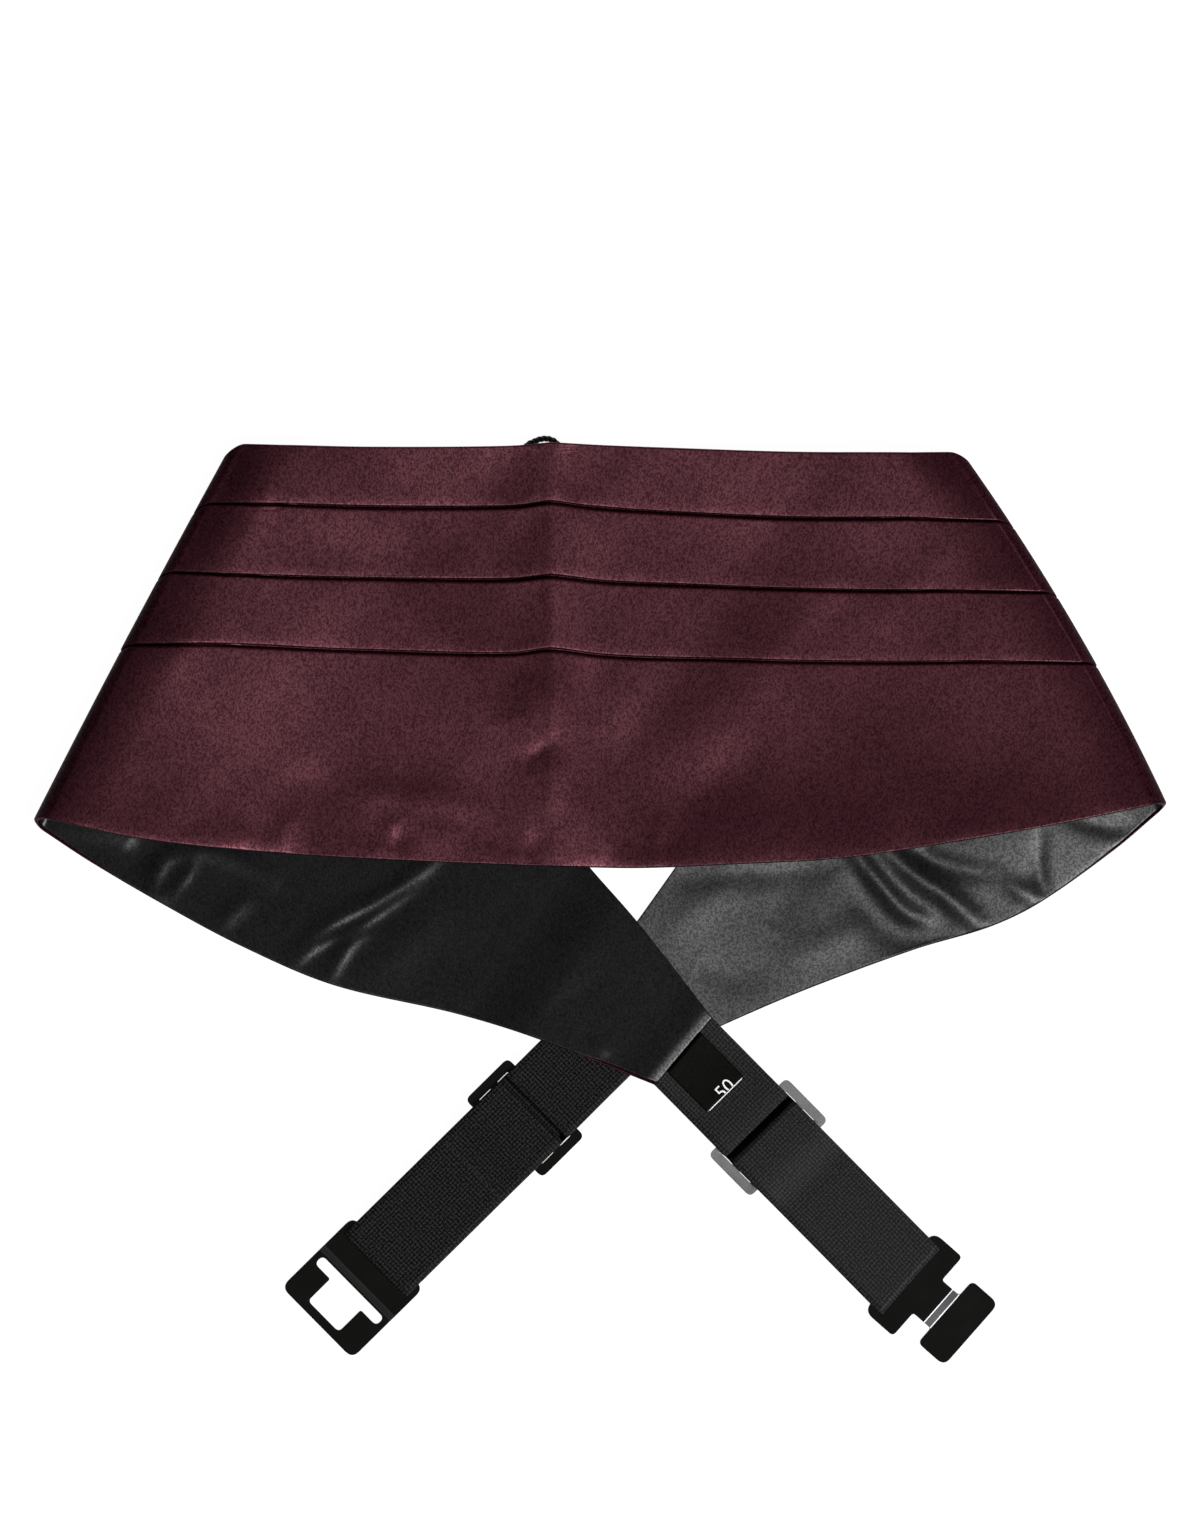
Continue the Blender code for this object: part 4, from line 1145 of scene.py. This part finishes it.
def shape_of(curve, weld):
    """The solid that a filled curve or a text makes, with points nearer than weld joined."""
    guide = bpy.data.objects.new(curve.name, curve)
    mesh = bpy.data.meshes.new_from_object(guide)
    bpy.data.objects.remove(guide)
    shape = bmesh.new()
    shape.from_mesh(mesh)
    bpy.data.meshes.remove(mesh)
    bmesh.ops.remove_doubles(shape, verts=shape.verts, dist=weld)
    return shape


def flat_metal(name, outlines, thickness, edge, step=None, drop=0.0):
    """A blanked plate with holes and rounded edges, in its own drawing; it can step down."""
    curve = bpy.data.curves.new(name + "_outline", "CURVE")
    curve.dimensions = "2D"
    curve.fill_mode = "BOTH"
    curve.extrude = thickness / 2
    for outline in outlines:
        spline = curve.splines.new("POLY")
        spline.points.add(len(outline) - 1)
        for point, place in zip(spline.points, outline):
            point.co = (place[0], place[1], 0.0, 1.0)
        spline.use_cyclic_u = True
    shape = shape_of(curve, PLATE_WELD)
    bmesh.ops.recalc_face_normals(shape, faces=shape.faces)
    sharp = [line for line in shape.edges
             if len(line.link_faces) == 2 and line.calc_face_angle() > math.radians(SHARP_ANGLE)]
    bmesh.ops.bevel(shape, geom=sharp, offset=edge, segments=BEVEL_STEPS, profile=0.5,
                    affect="EDGES", clamp_overlap=True)
    if step:
        for part in STEP_CUTS:
            slice_plate(shape, (blend(step[0], step[1], part), 0.0, 0.0), (1.0, 0.0, 0.0))
        for corner in shape.verts:
            part = (corner.co.x - step[0]) / (step[1] - step[0])
            corner.co.z -= drop * blend(min(max(part, 0.0), 1.0), float(smoothstep(part)),
                                        STEP_SOFTNESS)
    return shape


def slice_plate(shape, spot, normal):
    """Divide a plate's faces along a plane."""
    bmesh.ops.bisect_plane(shape, geom=shape.verts[:] + shape.edges[:] + shape.faces[:],
                           dist=ON_CUT, plane_co=spot, plane_no=normal)


def place_plate(name, shape, finish, course, distance, level, turn, materials, slot):
    """Put a plate on its strap, with its X axis outward; finish picks each face's material."""
    shape.normal_update()
    for face in shape.faces:
        face.smooth = True
        face.material_index = finish(face.calc_center_median(), face.normal)
    spot = course.points(np.array([distance]), np.array([0.0]), np.array([level]))[0]
    angle = math.radians(course.strap.heading + turn)
    for corner in shape.verts:
        x, y, z = corner.co
        corner.co = ((spot[0] + x * math.cos(angle) - y * math.sin(angle) + DRAWING_SHIFT[0]) * MM,
                     (spot[1] + x * math.sin(angle) + y * math.cos(angle) + DRAWING_SHIFT[1]) * MM,
                     (spot[2] + z) * MM)
    mesh = bpy.data.meshes.new(name)
    shape.to_mesh(mesh)
    shape.free()
    made = finish_piece(name, mesh, materials, slot, [name.replace("_fitting", "")])
    made.modifiers.new("Even_shading", "WEIGHTED_NORMAL")
    return made


# ----------------------------------------------------------------------------------- materials

def add_node(tree, kind, sockets=None, **settings):
    """Add a shader node: plain socket values are set, and sockets of other nodes are linked."""
    made = tree.nodes.new("ShaderNode" + kind)
    for name, value in settings.items():
        setattr(made, name, value)
    for name, value in (sockets or {}).items():
        if isinstance(value, bpy.types.NodeSocket):
            tree.links.new(value, made.inputs[name])
        else:
            made.inputs[name].default_value = value
    return made


def new_material(name):
    """Material with an empty tree but for its output."""
    made = bpy.data.materials.new(name)
    made.use_nodes = True
    made.node_tree.nodes.clear()
    return made, made.node_tree


# Most of a cloudy pattern's values lie between these. The weave of the satin darkens and lightens
# by SLUB_SHADE with its slubs. The elastic's ribs have a height beside its fibres' pattern, and
# the two together show from one value to another.
CLOUDS = (0.3, 0.7)
SLUB_SHADE = 0.12
RIB_HEIGHT = 0.11
RIB_RANGE = (0.42, 0.74)
WALE_SHARE = 0.9


def noise(tree, place, scale, detail=2.0, roughness=0.5, flat=False):
    """Socket of a cloudy pattern: over a place in space, or flat over the cut."""
    made = add_node(tree, "TexNoise", {
        "Vector": place, "Scale": scale, "Detail": detail, "Roughness": roughness},
        noise_dimensions="2D" if flat else "3D")
    return made.outputs["Fac"]


def ranged(tree, value, low, high, to_low=0.0, to_high=1.0):
    """Socket of a value taken from one range to another."""
    made = add_node(tree, "MapRange", {"Value": value, "From Min": low, "From Max": high,
                                       "To Min": to_low, "To Max": to_high})
    return made.outputs[0]


def reckoned(tree, operation, *values, **settings):
    """Socket of the result of a sum on sockets and numbers."""
    made = add_node(tree, "Math", dict(enumerate(values)), operation=operation, **settings)
    return made.outputs[0]


def cut_place(tree):
    """Sockets of the place on the flat cut, and of the direction along it."""
    place = add_node(tree, "UVMap", uv_map=CUT_MAP).outputs["UV"]
    return place, add_node(tree, "Tangent", direction_type="UV_MAP",
                           uv_map=CUT_MAP).outputs["Tangent"]


def grained(tree, height, depth):
    """Socket of a normal that follows a fine pattern, some millimetres deep."""
    made = add_node(tree, "Bump", {"Height": height, "Distance": depth * MM, "Strength": 1.0})
    return made.outputs["Normal"]


def brighter(shade, share, more=0.0):
    return tuple(min(1.0, channel * share + more) for channel in shade)


def close_material(tree, sockets):
    shader = add_node(tree, "BsdfPrincipled", sockets)
    add_node(tree, "OutputMaterial", {"Surface": shader.outputs["BSDF"]})


def opaque(colour_value):
    return (*colour_value, 1.0)


def mixed(tree, factor, shade, light):
    """Socket of a colour between two, by a pattern."""
    mix = add_node(tree, "Mix", {0: factor, 6: opaque(shade), 7: opaque(light)},
                   data_type="RGBA")
    return mix.outputs[2]


Weave = namedtuple("Weave", "float_length float_width slub roughness anisotropy turn specular "
                            "glint fade")
# Satin: long warp floats lie side by side, which shine across their length. Real floats are
# about 0.15 mm wide, and are drawn wider so that their grain shows in the render.
WINE_WEAVE = Weave(0.34, 0.46, 14.0, 0.45, 0.6, 0.0, 1.0, 0.5, (0.02, 0.12))
LINING_WEAVE = Weave(0.46, 0.36, 18.0, 0.42, 0.75, 0.25, 0.38, 0.15, (0.08, 0.3))
LABEL_WEAVE = Weave(0.5, 0.5, 9.0, 0.6, 0.0, 0.0, 0.06, 0.01, (0.12, 0.6))


def satin_cloth(name, weave, shade, light, gloss):
    """Woven polyester satin: grain of floats, slow slubs, and gloss drawn out across the warp."""
    made, tree = new_material(name)
    cut, warp = cut_place(tree)
    threads = add_node(tree, "Mapping", {
        "Vector": cut, "Scale": (1 / weave.float_length, 1 / weave.float_width, 1.0)})
    cells = add_node(tree, "TexVoronoi", {"Vector": threads.outputs["Vector"], "Scale": 1.0},
                     voronoi_dimensions="2D")
    grain = add_node(tree, "SeparateColor", {"Color": cells.outputs["Color"]})
    slow = ranged(tree, noise(tree, cut, 1 / weave.slub, 3.0, flat=True), *CLOUDS, -SLUB_SHADE,
                  SLUB_SHADE)
    pattern = reckoned(tree, "ADD", grain.outputs["Red"], slow, use_clamp=True)
    glint = ranged(tree, grain.outputs["Green"], 0.2, 0.8, weave.specular - weave.glint,
                   weave.specular + weave.glint)
    # The fibres shade one another where the cloth turns away.
    facing = add_node(tree, "LayerWeight", {"Blend": 0.5}).outputs["Facing"]
    shine = reckoned(tree, "MULTIPLY", glint, ranged(tree, facing, *weave.fade, 1.0, 0.05))
    close_material(tree, {
        "Base Color": mixed(tree, pattern, shade, light),
        "Roughness": weave.roughness, "IOR": 1.53, "Specular IOR Level": shine,
        "Anisotropic": weave.anisotropy, "Anisotropic Rotation": weave.turn,
        "Specular Tint": opaque(gloss), "Tangent": warp})
    return made


def woven_elastic(name, colours, rib_pitch):
    """Covered rubber elastic: crosswise ribs and lengthwise wales, matt, with fibre glints."""
    made, tree = new_material(name)
    cut, warp = cut_place(tree)
    parts = add_node(tree, "SeparateXYZ", {"Vector": cut})
    # Real ribs are about 0.6 mm apart, and are drawn coarser so that they show.
    waves = [reckoned(tree, "SINE", reckoned(tree, "MULTIPLY", parts.outputs[axis],
                                             2 * math.pi / pitch))
             for axis, pitch in (("X", rib_pitch), ("Y", rib_pitch * WALE_SHARE))]
    weave = reckoned(tree, "MULTIPLY_ADD", reckoned(tree, "ADD", *waves), RIB_HEIGHT,
                     noise(tree, cut, 2.2, 1.0, flat=True))
    close_material(tree, {
        "Base Color": mixed(tree, ranged(tree, weave, *RIB_RANGE), colours.elastic_shade,
                            colours.elastic_light),
        "Roughness": 0.6, "IOR": 1.5, "Specular IOR Level": 0.1, "Anisotropic": 0.6,
        "Tangent": warp})
    return made


def thread_material(name, shade, roughness):
    """Twisted yarn: fine spiral fibres that break up a soft gloss."""
    made, tree = new_material(name)
    place = add_node(tree, "TexCoord").outputs["Object"]
    fibres = noise(tree, place, 1.2 / MM, roughness=0.6)
    close_material(tree, {
        "Base Color": mixed(tree, fibres, shade, brighter(shade, 2.2, 0.01)),
        "Roughness": roughness, "IOR": 1.5, "Sheen Weight": 0.05,
        "Normal": grained(tree, fibres, 0.08)})
    return made


Metal = namedtuple("Metal", "metallic roughness spread grain_mm bump")
# Stoved enamel over steel: smooth and nearly black, with a low even gloss.
BLACK_ENAMEL = Metal(0.0, 0.2, 0.04, 0.9, 0.002)
# The right slider is black enamel like the left one; this grey metal is painted on its faces as a
# reflection of the lamp, with a fine peened grain that blurs what it mirrors.
PAINTED_GREY_REFLECTION = Metal(1.0, 0.48, 0.16, 0.5, 0.02)
# Enamel painted lighter and matt over the step in the eye plate's face, where it is bent: painted
# sheen.
STEP_SHEEN_ENAMEL = Metal(0.0, 0.7, 0.1, 0.5, 0.002)
# Brass and steel laid bare by wear: bright, with fine draw marks.
BARE_METAL = Metal(1.0, 0.6, 0.2, 0.4, 0.004)
# Steel left from the stamp on the hook's neck: dull and drawn out along the bend.
DULL_STEEL = Metal(1.0, 0.8, 0.1, 0.35, 0.004)


def metal_surface(name, metal, shade):
    """Stamped or cast metal, with uneven gloss and a fine grain."""
    made, tree = new_material(name)
    place = add_node(tree, "TexCoord").outputs["Object"]
    grain = noise(tree, place, 1 / (metal.grain_mm * MM), 3.0, 0.6)
    half = metal.spread / 2
    gloss = ranged(tree, noise(tree, place, 0.12 / MM), *CLOUDS, metal.roughness - half,
                   metal.roughness + half)
    close_material(tree, {
        "Base Color": mixed(tree, grain, shade, brighter(shade, 1.25)),
        "Metallic": metal.metallic, "Roughness": gloss,
        "Normal": grained(tree, grain, metal.bump)})
    return made


def light_table(name, shade):
    """Opal acrylic of a table lit from within, which shows white, with barely uneven gloss."""
    made, tree = new_material(name)
    place = add_node(tree, "TexCoord").outputs["Object"]
    close_material(tree, {
        "Base Color": mixed(tree, noise(tree, place, 2.0), brighter(shade, 0.985), shade),
        "Roughness": 0.9, "Specular IOR Level": 0.1,
        "Emission Color": (1.0, 1.0, 1.0, 1.0), "Emission Strength": TABLE_GLOW})
    return made


# ----------------------------------------------------------------------------------- operators

def settings(context):
    return context.scene.cummerbund_sizes, context.scene.cummerbund_colours


class CUMMERBUND_OT_stage(bpy.types.Operator):
    """Make the lit table, the soft lamp, the pale world and the camera over the piece"""
    bl_idname = "cummerbund.stage"
    bl_label = "Stage"

    def execute(self, context):
        colours = settings(context)[1]
        bpy.ops.mesh.primitive_plane_add(size=TABLE_SIZE, location=(0.0, 0.0, TABLE_LEVEL))
        floor = context.object
        floor.name = "light_table"
        floor.data.materials.append(light_table("opal_acrylic", colours.table))
        floor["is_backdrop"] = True
        world = bpy.data.worlds.new("pale_studio")
        world.use_nodes = True
        sky = world.node_tree.nodes["Background"]
        sky.inputs["Color"].default_value = (1.0, 1.0, 1.0, 1.0)
        sky.inputs["Strength"].default_value = WORLD_LIGHT
        context.scene.world = world
        for lamp in LAMPS:
            light = bpy.data.lights.new(lamp.name, "AREA")
            light.shape = "DISK"
            light.size = lamp.size
            light.energy = lamp.power
            made = bpy.data.objects.new(lamp.name, light)
            tilt, turn = math.radians(lamp.tilt), math.radians(lamp.angle)
            made.location = (lamp.distance * math.sin(tilt) * math.cos(turn),
                             lamp.distance * math.sin(tilt) * math.sin(turn),
                             lamp.distance * math.cos(tilt))
            made.rotation_euler = (0.0, tilt, turn)
            context.scene.collection.objects.link(made)
        lens = bpy.data.cameras.new("overhead_camera")
        lens.lens = LENS
        lens.sensor_width = SENSOR
        camera = bpy.data.objects.new("overhead_camera", lens)
        camera.location = ((VIEW_MIDDLE[0] + DRAWING_SHIFT[0]) * MM,
                           (VIEW_MIDDLE[1] + DRAWING_SHIFT[1]) * MM,
                           (VIEW_LEVEL + VIEW_HEIGHT * LENS / SENSOR) * MM)
        context.scene.collection.objects.link(camera)
        context.scene.camera = camera
        context.scene.view_settings.view_transform = "Standard"
        return {"FINISHED"}


def cut_size(cut):
    """Greatest width and middle length of a strip's flat cut, and its area, in metres."""
    rows = cut.shape[1]
    length = lengths(cut[:, rows // 2])[-1]
    width = max(np.linalg.norm(row[-1] - row[0]) for row in cut)
    edge = np.concatenate([cut[:, 0], cut[::-1, -1]])
    x, y = edge[:, 0], edge[:, 1]
    area = abs(x @ np.roll(y, 1) - y @ np.roll(x, 1)) / 2
    return (width * MM, length * MM), min(area, width * length) * MM * MM


class CUMMERBUND_OT_satin(bpy.types.Operator):
    """Make the four strips of wine satin: three knife pleats and the lower panel"""
    bl_idname = "cummerbund.satin"
    bl_label = "Pleated satin"

    def execute(self, context):
        sizes, colours = settings(context)
        satin = satin_cloth("wine_duchesse_satin", WINE_WEAVE, colours.satin_shade,
                            colours.satin_light, colours.satin_gloss)
        nodes = ("pleat_top", "pleat_second", "pleat_third", "lower_panel")
        for index, node in enumerate(nodes):
            faces = band_piece(lambda section: strip_faces(section, index, sizes),
                               thinned(*SATIN_KEEPS), FRONT_CREASES, 1, SATIN_SWELLING)
            made = cloth_piece("satin_" + node, faces, satin, "wine_satin", node)
            flat, area = cut_size(faces[2])
        return {"FINISHED"}


class CUMMERBUND_OT_lining(bpy.types.Operator):
    """Make the black lining with its creases, in one wall from end to end"""
    bl_idname = "cummerbund.lining"
    bl_label = "Lining"

    def execute(self, context):
        sizes, colours = settings(context)
        cloth = satin_cloth("black_lining_satin", LINING_WEAVE, colours.lining_shade,
                            colours.lining_light, colours.lining_gloss)
        faces = band_piece(lambda section: lining_faces(section, sizes),
                           thinned(*LINING_KEEPS), TAIL_CREASES, -1, LINING_SWELLING)
        made = cloth_piece("satin_lining", faces, cloth, "black_lining", "lining")
        flat, area = cut_size(faces[2])
        return {"FINISHED"}


class CUMMERBUND_OT_straps(bpy.types.Operator):
    """Make both elastic straps, threaded through their fittings, and their stitching"""
    bl_idname = "cummerbund.straps"
    bl_label = "Elastic straps"

    def execute(self, context):
        sizes, colours = settings(context)
        webbing = woven_elastic("black_woven_elastic", colours, sizes.rib_pitch / MM)
        thread = thread_material("black_polyester_thread", colours.label, 0.8)
        for side, course in COURSES.items():
            path = elastic_path(course)
            faces = ribbon(course, path, ELASTIC_WIDTH, ELASTIC_WALL, ELASTIC_ROWS, SELVEDGE)
            made = cloth_piece("woven_elastic_" + side, faces, webbing, "black_elastic",
                               "elastic_" + side)
            lengths(path)[-1] * MM
            sewn = course.strap.slider + SLIDER_LENGTH + SEWN_END - STITCH_INSET
            stitches = stitch_row(course, sewn, UPPER_LAYER + ELASTIC_WALL / 2, sizes)
            thread_piece("strap_stitches_" + side, stitches, thread, "black_elastic")
        return {"FINISHED"}


class CUMMERBUND_OT_sliders(bpy.types.Operator):
    """Make the two black three-bar sliders, the right one's faces painted grey as a reflection of
    the lamp
    """
    bl_idname = "cummerbund.sliders"
    bl_label = "Sliders"

    def execute(self, context):
        sizes, colours = settings(context)
        brass = metal_surface("bare_brass_edge", BARE_METAL, colours.brass)
        enamel = metal_surface("stoved_black_enamel", BLACK_ENAMEL, colours.enamel)
        looks = {"left": (enamel, "black_metal"),
                 # The right slider: black enamel with a painted grey reflection of the lamp on its
                 # faces.
                 "right": (metal_surface("black_slider_painted_grey_reflection", PAINTED_GREY_REFLECTION, colours.painted_reflection),
                           "grey_metal")}
        first = SLIDER_END_BAR + SLIDER_FIRST_WINDOW
        second = first + SLIDER_MIDDLE_BAR
        half = SLIDER_WINDOW_WIDTH / 2
        edge = SLIDER_EDGE * sizes.plate_edge / MM

        for side, (finish, slot) in looks.items():
            def finish_at(spot, normal):
                """Brass on the sides of the left one's windows, black enamel on the other edges,
                and the slider's finish on its faces, which on the right one is grey painted as a
                reflection of the lamp.
                """
                beside = half - 1 < abs(spot.y) < half + edge and abs(normal.y) > ASIDE
                if beside and side == "left":
                    return 1
                return 2 if beside or normal.z < LEVEL else 0

            outlines = [box_outline(0.0, SLIDER_LENGTH, SLIDER_WIDTH, SLIDER_CORNER),
                        box_outline(SLIDER_END_BAR, first, SLIDER_WINDOW_WIDTH, WINDOW_CORNER),
                        box_outline(second, SLIDER_LENGTH - SLIDER_END_BAR, SLIDER_WINDOW_WIDTH,
                                    WINDOW_CORNER)]
            shape = flat_metal("slider_" + side, outlines, SLIDER_THICKNESS, edge)
            course = COURSES[side]
            place_plate("slider_" + side + "_fitting", shape, finish_at, course,
                        course.strap.slider, SLIDER_BOTTOM + SLIDER_THICKNESS / 2, 0.0,
                        [finish, brass, enamel], slot)
        return {"FINISHED"}


class CUMMERBUND_OT_plates(bpy.types.Operator):
    """Make the plate with the T-shaped hole and the T-headed hook"""
    bl_idname = "cummerbund.plates"
    bl_label = "Eye plate and hook"

    def execute(self, context):
        sizes, colours = settings(context)
        enamel = metal_surface("stoved_black_plate", BLACK_ENAMEL, colours.enamel)
        brass = metal_surface("bare_brass_slot", BARE_METAL, colours.brass)
        # The eye plate's step is painted lighter, as the sheen on its slope.
        step_sheen = metal_surface("black_plate_painted_step_sheen", STEP_SHEEN_ENAMEL, colours.step_sheen)
        # The bends of the hook's neck are painted bright steel, as highlights.
        steel = metal_surface("steel_painted_bend_highlights", DULL_STEEL, colours.steel)
        dull = metal_surface("dull_steel_neck", DULL_STEEL, colours.dull_steel)
        edge = sizes.plate_edge / MM
        bar, stem = TEE_BAR_WIDTH / 2, TEE_STEM_WIDTH / 2
        inner, end = TEE_START + TEE_BAR, TEE_START + TEE_DEPTH
        tee = mirrored([(TEE_START, bar), (inner, bar), (inner, stem), (end, stem)], TEE_CORNERS)
        outlines = [box_outline(EYE_BACK, EYE_LENGTH, EYE_WIDTH, PLATE_CORNER),
                    box_outline(*PLATE_SLOT, EYE_SLOT_WIDTH, WINDOW_CORNER), tee]
        level = PLATE_BOTTOM + PLATE_THICKNESS / 2
        course = COURSES["left"]
        shape = flat_metal("eye_plate", outlines, PLATE_THICKNESS, edge, EYE_STEP,
                           PLATE_BOTTOM - FOOT)

        for end in (-WORN_END, WORN_END):
            slice_plate(shape, (0.0, end, 0.0), (0.0, 1.0, 0.0))

        def eye_finish(spot, normal):
            """Brass at the ends of the strap slot's outer edge, and enamel painted lighter on the
            step as sheen.
            """
            if (abs(spot.x - PLATE_SLOT[1]) < edge + WEAR_MARGIN and normal.x < -ASIDE
                    and abs(spot.y) > WORN_END):
                return 1
            return 2 if EYE_STEP[0] < spot.x < EYE_STEP[1] and normal.z > ASIDE else 0

        place_plate("eye_plate_fitting", shape, eye_finish, course, course.strap.reach, level,
                    0.0, [enamel, brass, step_sheen], "black_metal")
        body, neck, head = HOOK_BODY_WIDTH / 2, HOOK_NECK_WIDTH / 2, HOOK_HEAD_WIDTH / 2
        hook = mirrored([(HOOK_BACK, body), (HOOK_BODY, body), (HOOK_BODY, neck),
                         (HOOK_NECK, neck), (HOOK_NECK, head), (HOOK_END, head)], HOOK_CORNERS)
        outlines = [hook,
                    box_outline(*PLATE_SLOT, HOOK_SLOT_WIDTH, WINDOW_CORNER)]
        shape = flat_metal("hook_plate", outlines, PLATE_THICKNESS, edge, HOOK_STEP,
                           PLATE_BOTTOM - FOOT)
        course = COURSES["right"]

        def hook_finish(spot, normal):
            """Bare steel on the sloped band of the neck, painted brighter at its two bends as
            highlights.
            """
            part = (spot.x - HOOK_STEP[0]) / (HOOK_STEP[1] - HOOK_STEP[0])
            if not 0.0 < part < 1.0 or abs(spot.y) > neck + 2 * WEAR_MARGIN or normal.z < ASIDE:
                return 0
            return 2 if STEP_CUTS[1] < part < STEP_CUTS[-2] else 1

        place_plate("hook_plate_fitting", shape, hook_finish, course, course.strap.reach, level,
                    course.strap.turn, [enamel, steel, dull], "black_metal")
        return {"FINISHED"}


class CUMMERBUND_OT_label(bpy.types.Operator):
    """Make the folded label, its white fold and its plain number"""
    bl_idname = "cummerbund.label"
    bl_label = "Size label"

    def execute(self, context):
        sizes, colours = settings(context)
        course = COURSES["right"]
        lead_start = course.strap.lead[0][0]
        lead_length = course.strap.lead[-1][0] - lead_start
        rest = ELASTIC_WALL / 2 + GAP + LABEL_WALL / 2
        path = []
        for distance in np.linspace(LABEL_START, LABEL_END, LABEL_STEPS):
            middle = along(course.strap.lead, (distance - lead_start) / lead_length)
            path.append((middle[0], middle[1] + rest))
        path = np.array(path)
        cloth = satin_cloth("black_taffeta_label", LABEL_WEAVE, colours.label, colours.label,
                            colours.lining_gloss)
        white = thread_material("white_label_thread", colours.white_thread, 0.7)
        faces = ribbon(course, path, LABEL_WIDTH, LABEL_WALL, LABEL_ROWS, PLAIN_EDGE)
        made = cloth_piece("folded_label", faces, cloth, "label_cloth", "size_label")
        aside, back, down = FOLD_INSETS
        half = LABEL_WIDTH / 2 - aside
        across = np.linspace(-half, half, FOLD_STEPS)
        steady = np.ones(FOLD_STEPS)
        line = course.points(steady * (path[-1][0] - back), across,
                             steady * (path[-1][1] + LABEL_WALL / 2 - down))
        fold = thread_piece("label_white_fold", tube(line, FOLD_THREAD), white, "label_cloth")
        number = self.number(sizes.number, course, path, white)
        return {"FINISHED"}

    def number(self, text, course, path, material):
        """The plain number, its foot cut off by the fold of the label."""
        font = bpy.data.curves.new("label_number", "FONT")
        font.body = text
        font.size = NUMBER_SIZE
        font.align_x = "CENTER"
        font.extrude = NUMBER_RELIEF
        font.offset = NUMBER_THINNING
        shape = shape_of(font, NUMBER_WELD)
        for corner in shape.verts:
            corner.co.x += NUMBER_PLACE[0]
            corner.co.y += NUMBER_PLACE[1]
        everything = shape.verts[:] + shape.edges[:] + shape.faces[:]
        cut = bmesh.ops.bisect_plane(shape, geom=everything, dist=ON_CUT, clear_inner=True,
                                     plane_co=(0.0, 0.0, 0.0), plane_no=(0.0, 1.0, 0.0))
        rim = [item for item in cut["geom_cut"] if isinstance(item, bmesh.types.BMEdge)]
        bmesh.ops.edgenet_fill(shape, edges=rim)
        for corner in shape.verts:
            distance = LABEL_END - NUMBER_FOOT - corner.co.y
            level = np.interp(distance, path[:, 0], path[:, 1]) + LABEL_WALL / 2
            spot = course.points(np.array([distance]), np.array([corner.co.x]),
                                 np.array([level + NUMBER_RELIEF + corner.co.z]))[0]
            corner.co = spot
        mesh = bpy.data.meshes.new("label_number")
        bmesh.ops.recalc_face_normals(shape, faces=shape.faces)
        shape.transform(to_metres())
        shape.to_mesh(mesh)
        shape.free()
        return finish_piece("label_number", mesh, [material], "label_cloth", [])


def to_metres():
    """Matrix from drawing millimetres to the frame's metres."""
    shift = Vector((*DRAWING_SHIFT, 0.0)) * MM
    return Matrix.LocRotScale(shift, None, Vector((MM, MM, MM)))


class CUMMERBUND_OT_loop(bpy.types.Operator):
    """Make the twisted cord loop behind the top edge"""
    bl_idname = "cummerbund.loop"
    bl_label = "Button loop"

    def execute(self, context):
        sizes, colours = settings(context)
        strand = sizes.strand / MM
        route = np.array([along(LOOP_ROUTE, step / LOOP_STEPS)
                          for step in range(LOOP_STEPS + 1)])
        aside = asides(route)
        turn = 2 * math.pi * lengths(route) / LOOP_TWIST
        shapes = []
        for number in range(LOOP_STRANDS):
            angle = turn + 2 * math.pi * number / LOOP_STRANDS
            shift = strand * LOOP_PACKING
            flat = route + aside * (shift * np.cos(angle))[:, None]
            level = LOOP_LEVEL + shift * np.sin(angle)
            shapes.append(tube(np.column_stack([flat, level]), strand / 2, 10))
        cord = thread_material("black_rayon_cord", colours.cord, 0.5)
        thread_piece("twisted_cord_loop", joined(shapes), cord, "black_cord", ["button_loop"])
        return {"FINISHED"}


class CUMMERBUND_PT_panel(bpy.types.Panel):
    """Sizes, colours and pieces of the cummerbund"""
    bl_label = "Cummerbund"
    bl_idname = "CUMMERBUND_PT_panel"
    bl_space_type = "VIEW_3D"
    bl_region_type = "UI"
    bl_category = "Cummerbund"

    def draw(self, context):
        for group in settings(context):
            box = self.layout.box()
            for name in group.__annotations__:
                box.prop(group, name)
        for operator in OPERATORS:
            self.layout.operator(operator.bl_idname)


OPERATORS = (CUMMERBUND_OT_stage, CUMMERBUND_OT_satin, CUMMERBUND_OT_lining,
             CUMMERBUND_OT_straps, CUMMERBUND_OT_sliders, CUMMERBUND_OT_plates,
             CUMMERBUND_OT_label, CUMMERBUND_OT_loop)
CLASSES = (CummerbundSizes, CummerbundColours) + OPERATORS + (CUMMERBUND_PT_panel,)

SIDES = (Side(LEFT, -1), Side(RIGHT, 1))
SECTIONS = half_band(SIDES[0])[::-1] + [front_section(SIDES[1], 0.0)] + half_band(SIDES[1])
COURSES = {"left": Course(LEFT_STRAP), "right": Course(RIGHT_STRAP)}


def register():
    for item in CLASSES:
        bpy.utils.register_class(item)
    bpy.types.Scene.cummerbund_sizes = PointerProperty(type=CummerbundSizes)
    bpy.types.Scene.cummerbund_colours = PointerProperty(type=CummerbundColours)


def unregister():
    del bpy.types.Scene.cummerbund_colours
    del bpy.types.Scene.cummerbund_sizes
    for item in reversed(CLASSES):
        bpy.utils.unregister_class(item)


def main():
    register()
    for operator in OPERATORS:
        group, name = operator.bl_idname.split(".")
        getattr(getattr(bpy.ops, group), name)()
    corners = {"cad": CAD_BOX, "visual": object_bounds()}
    {name: [list(corner) for corner in box] for name, box in corners.items()}


if __name__ == "__main__":
    main()
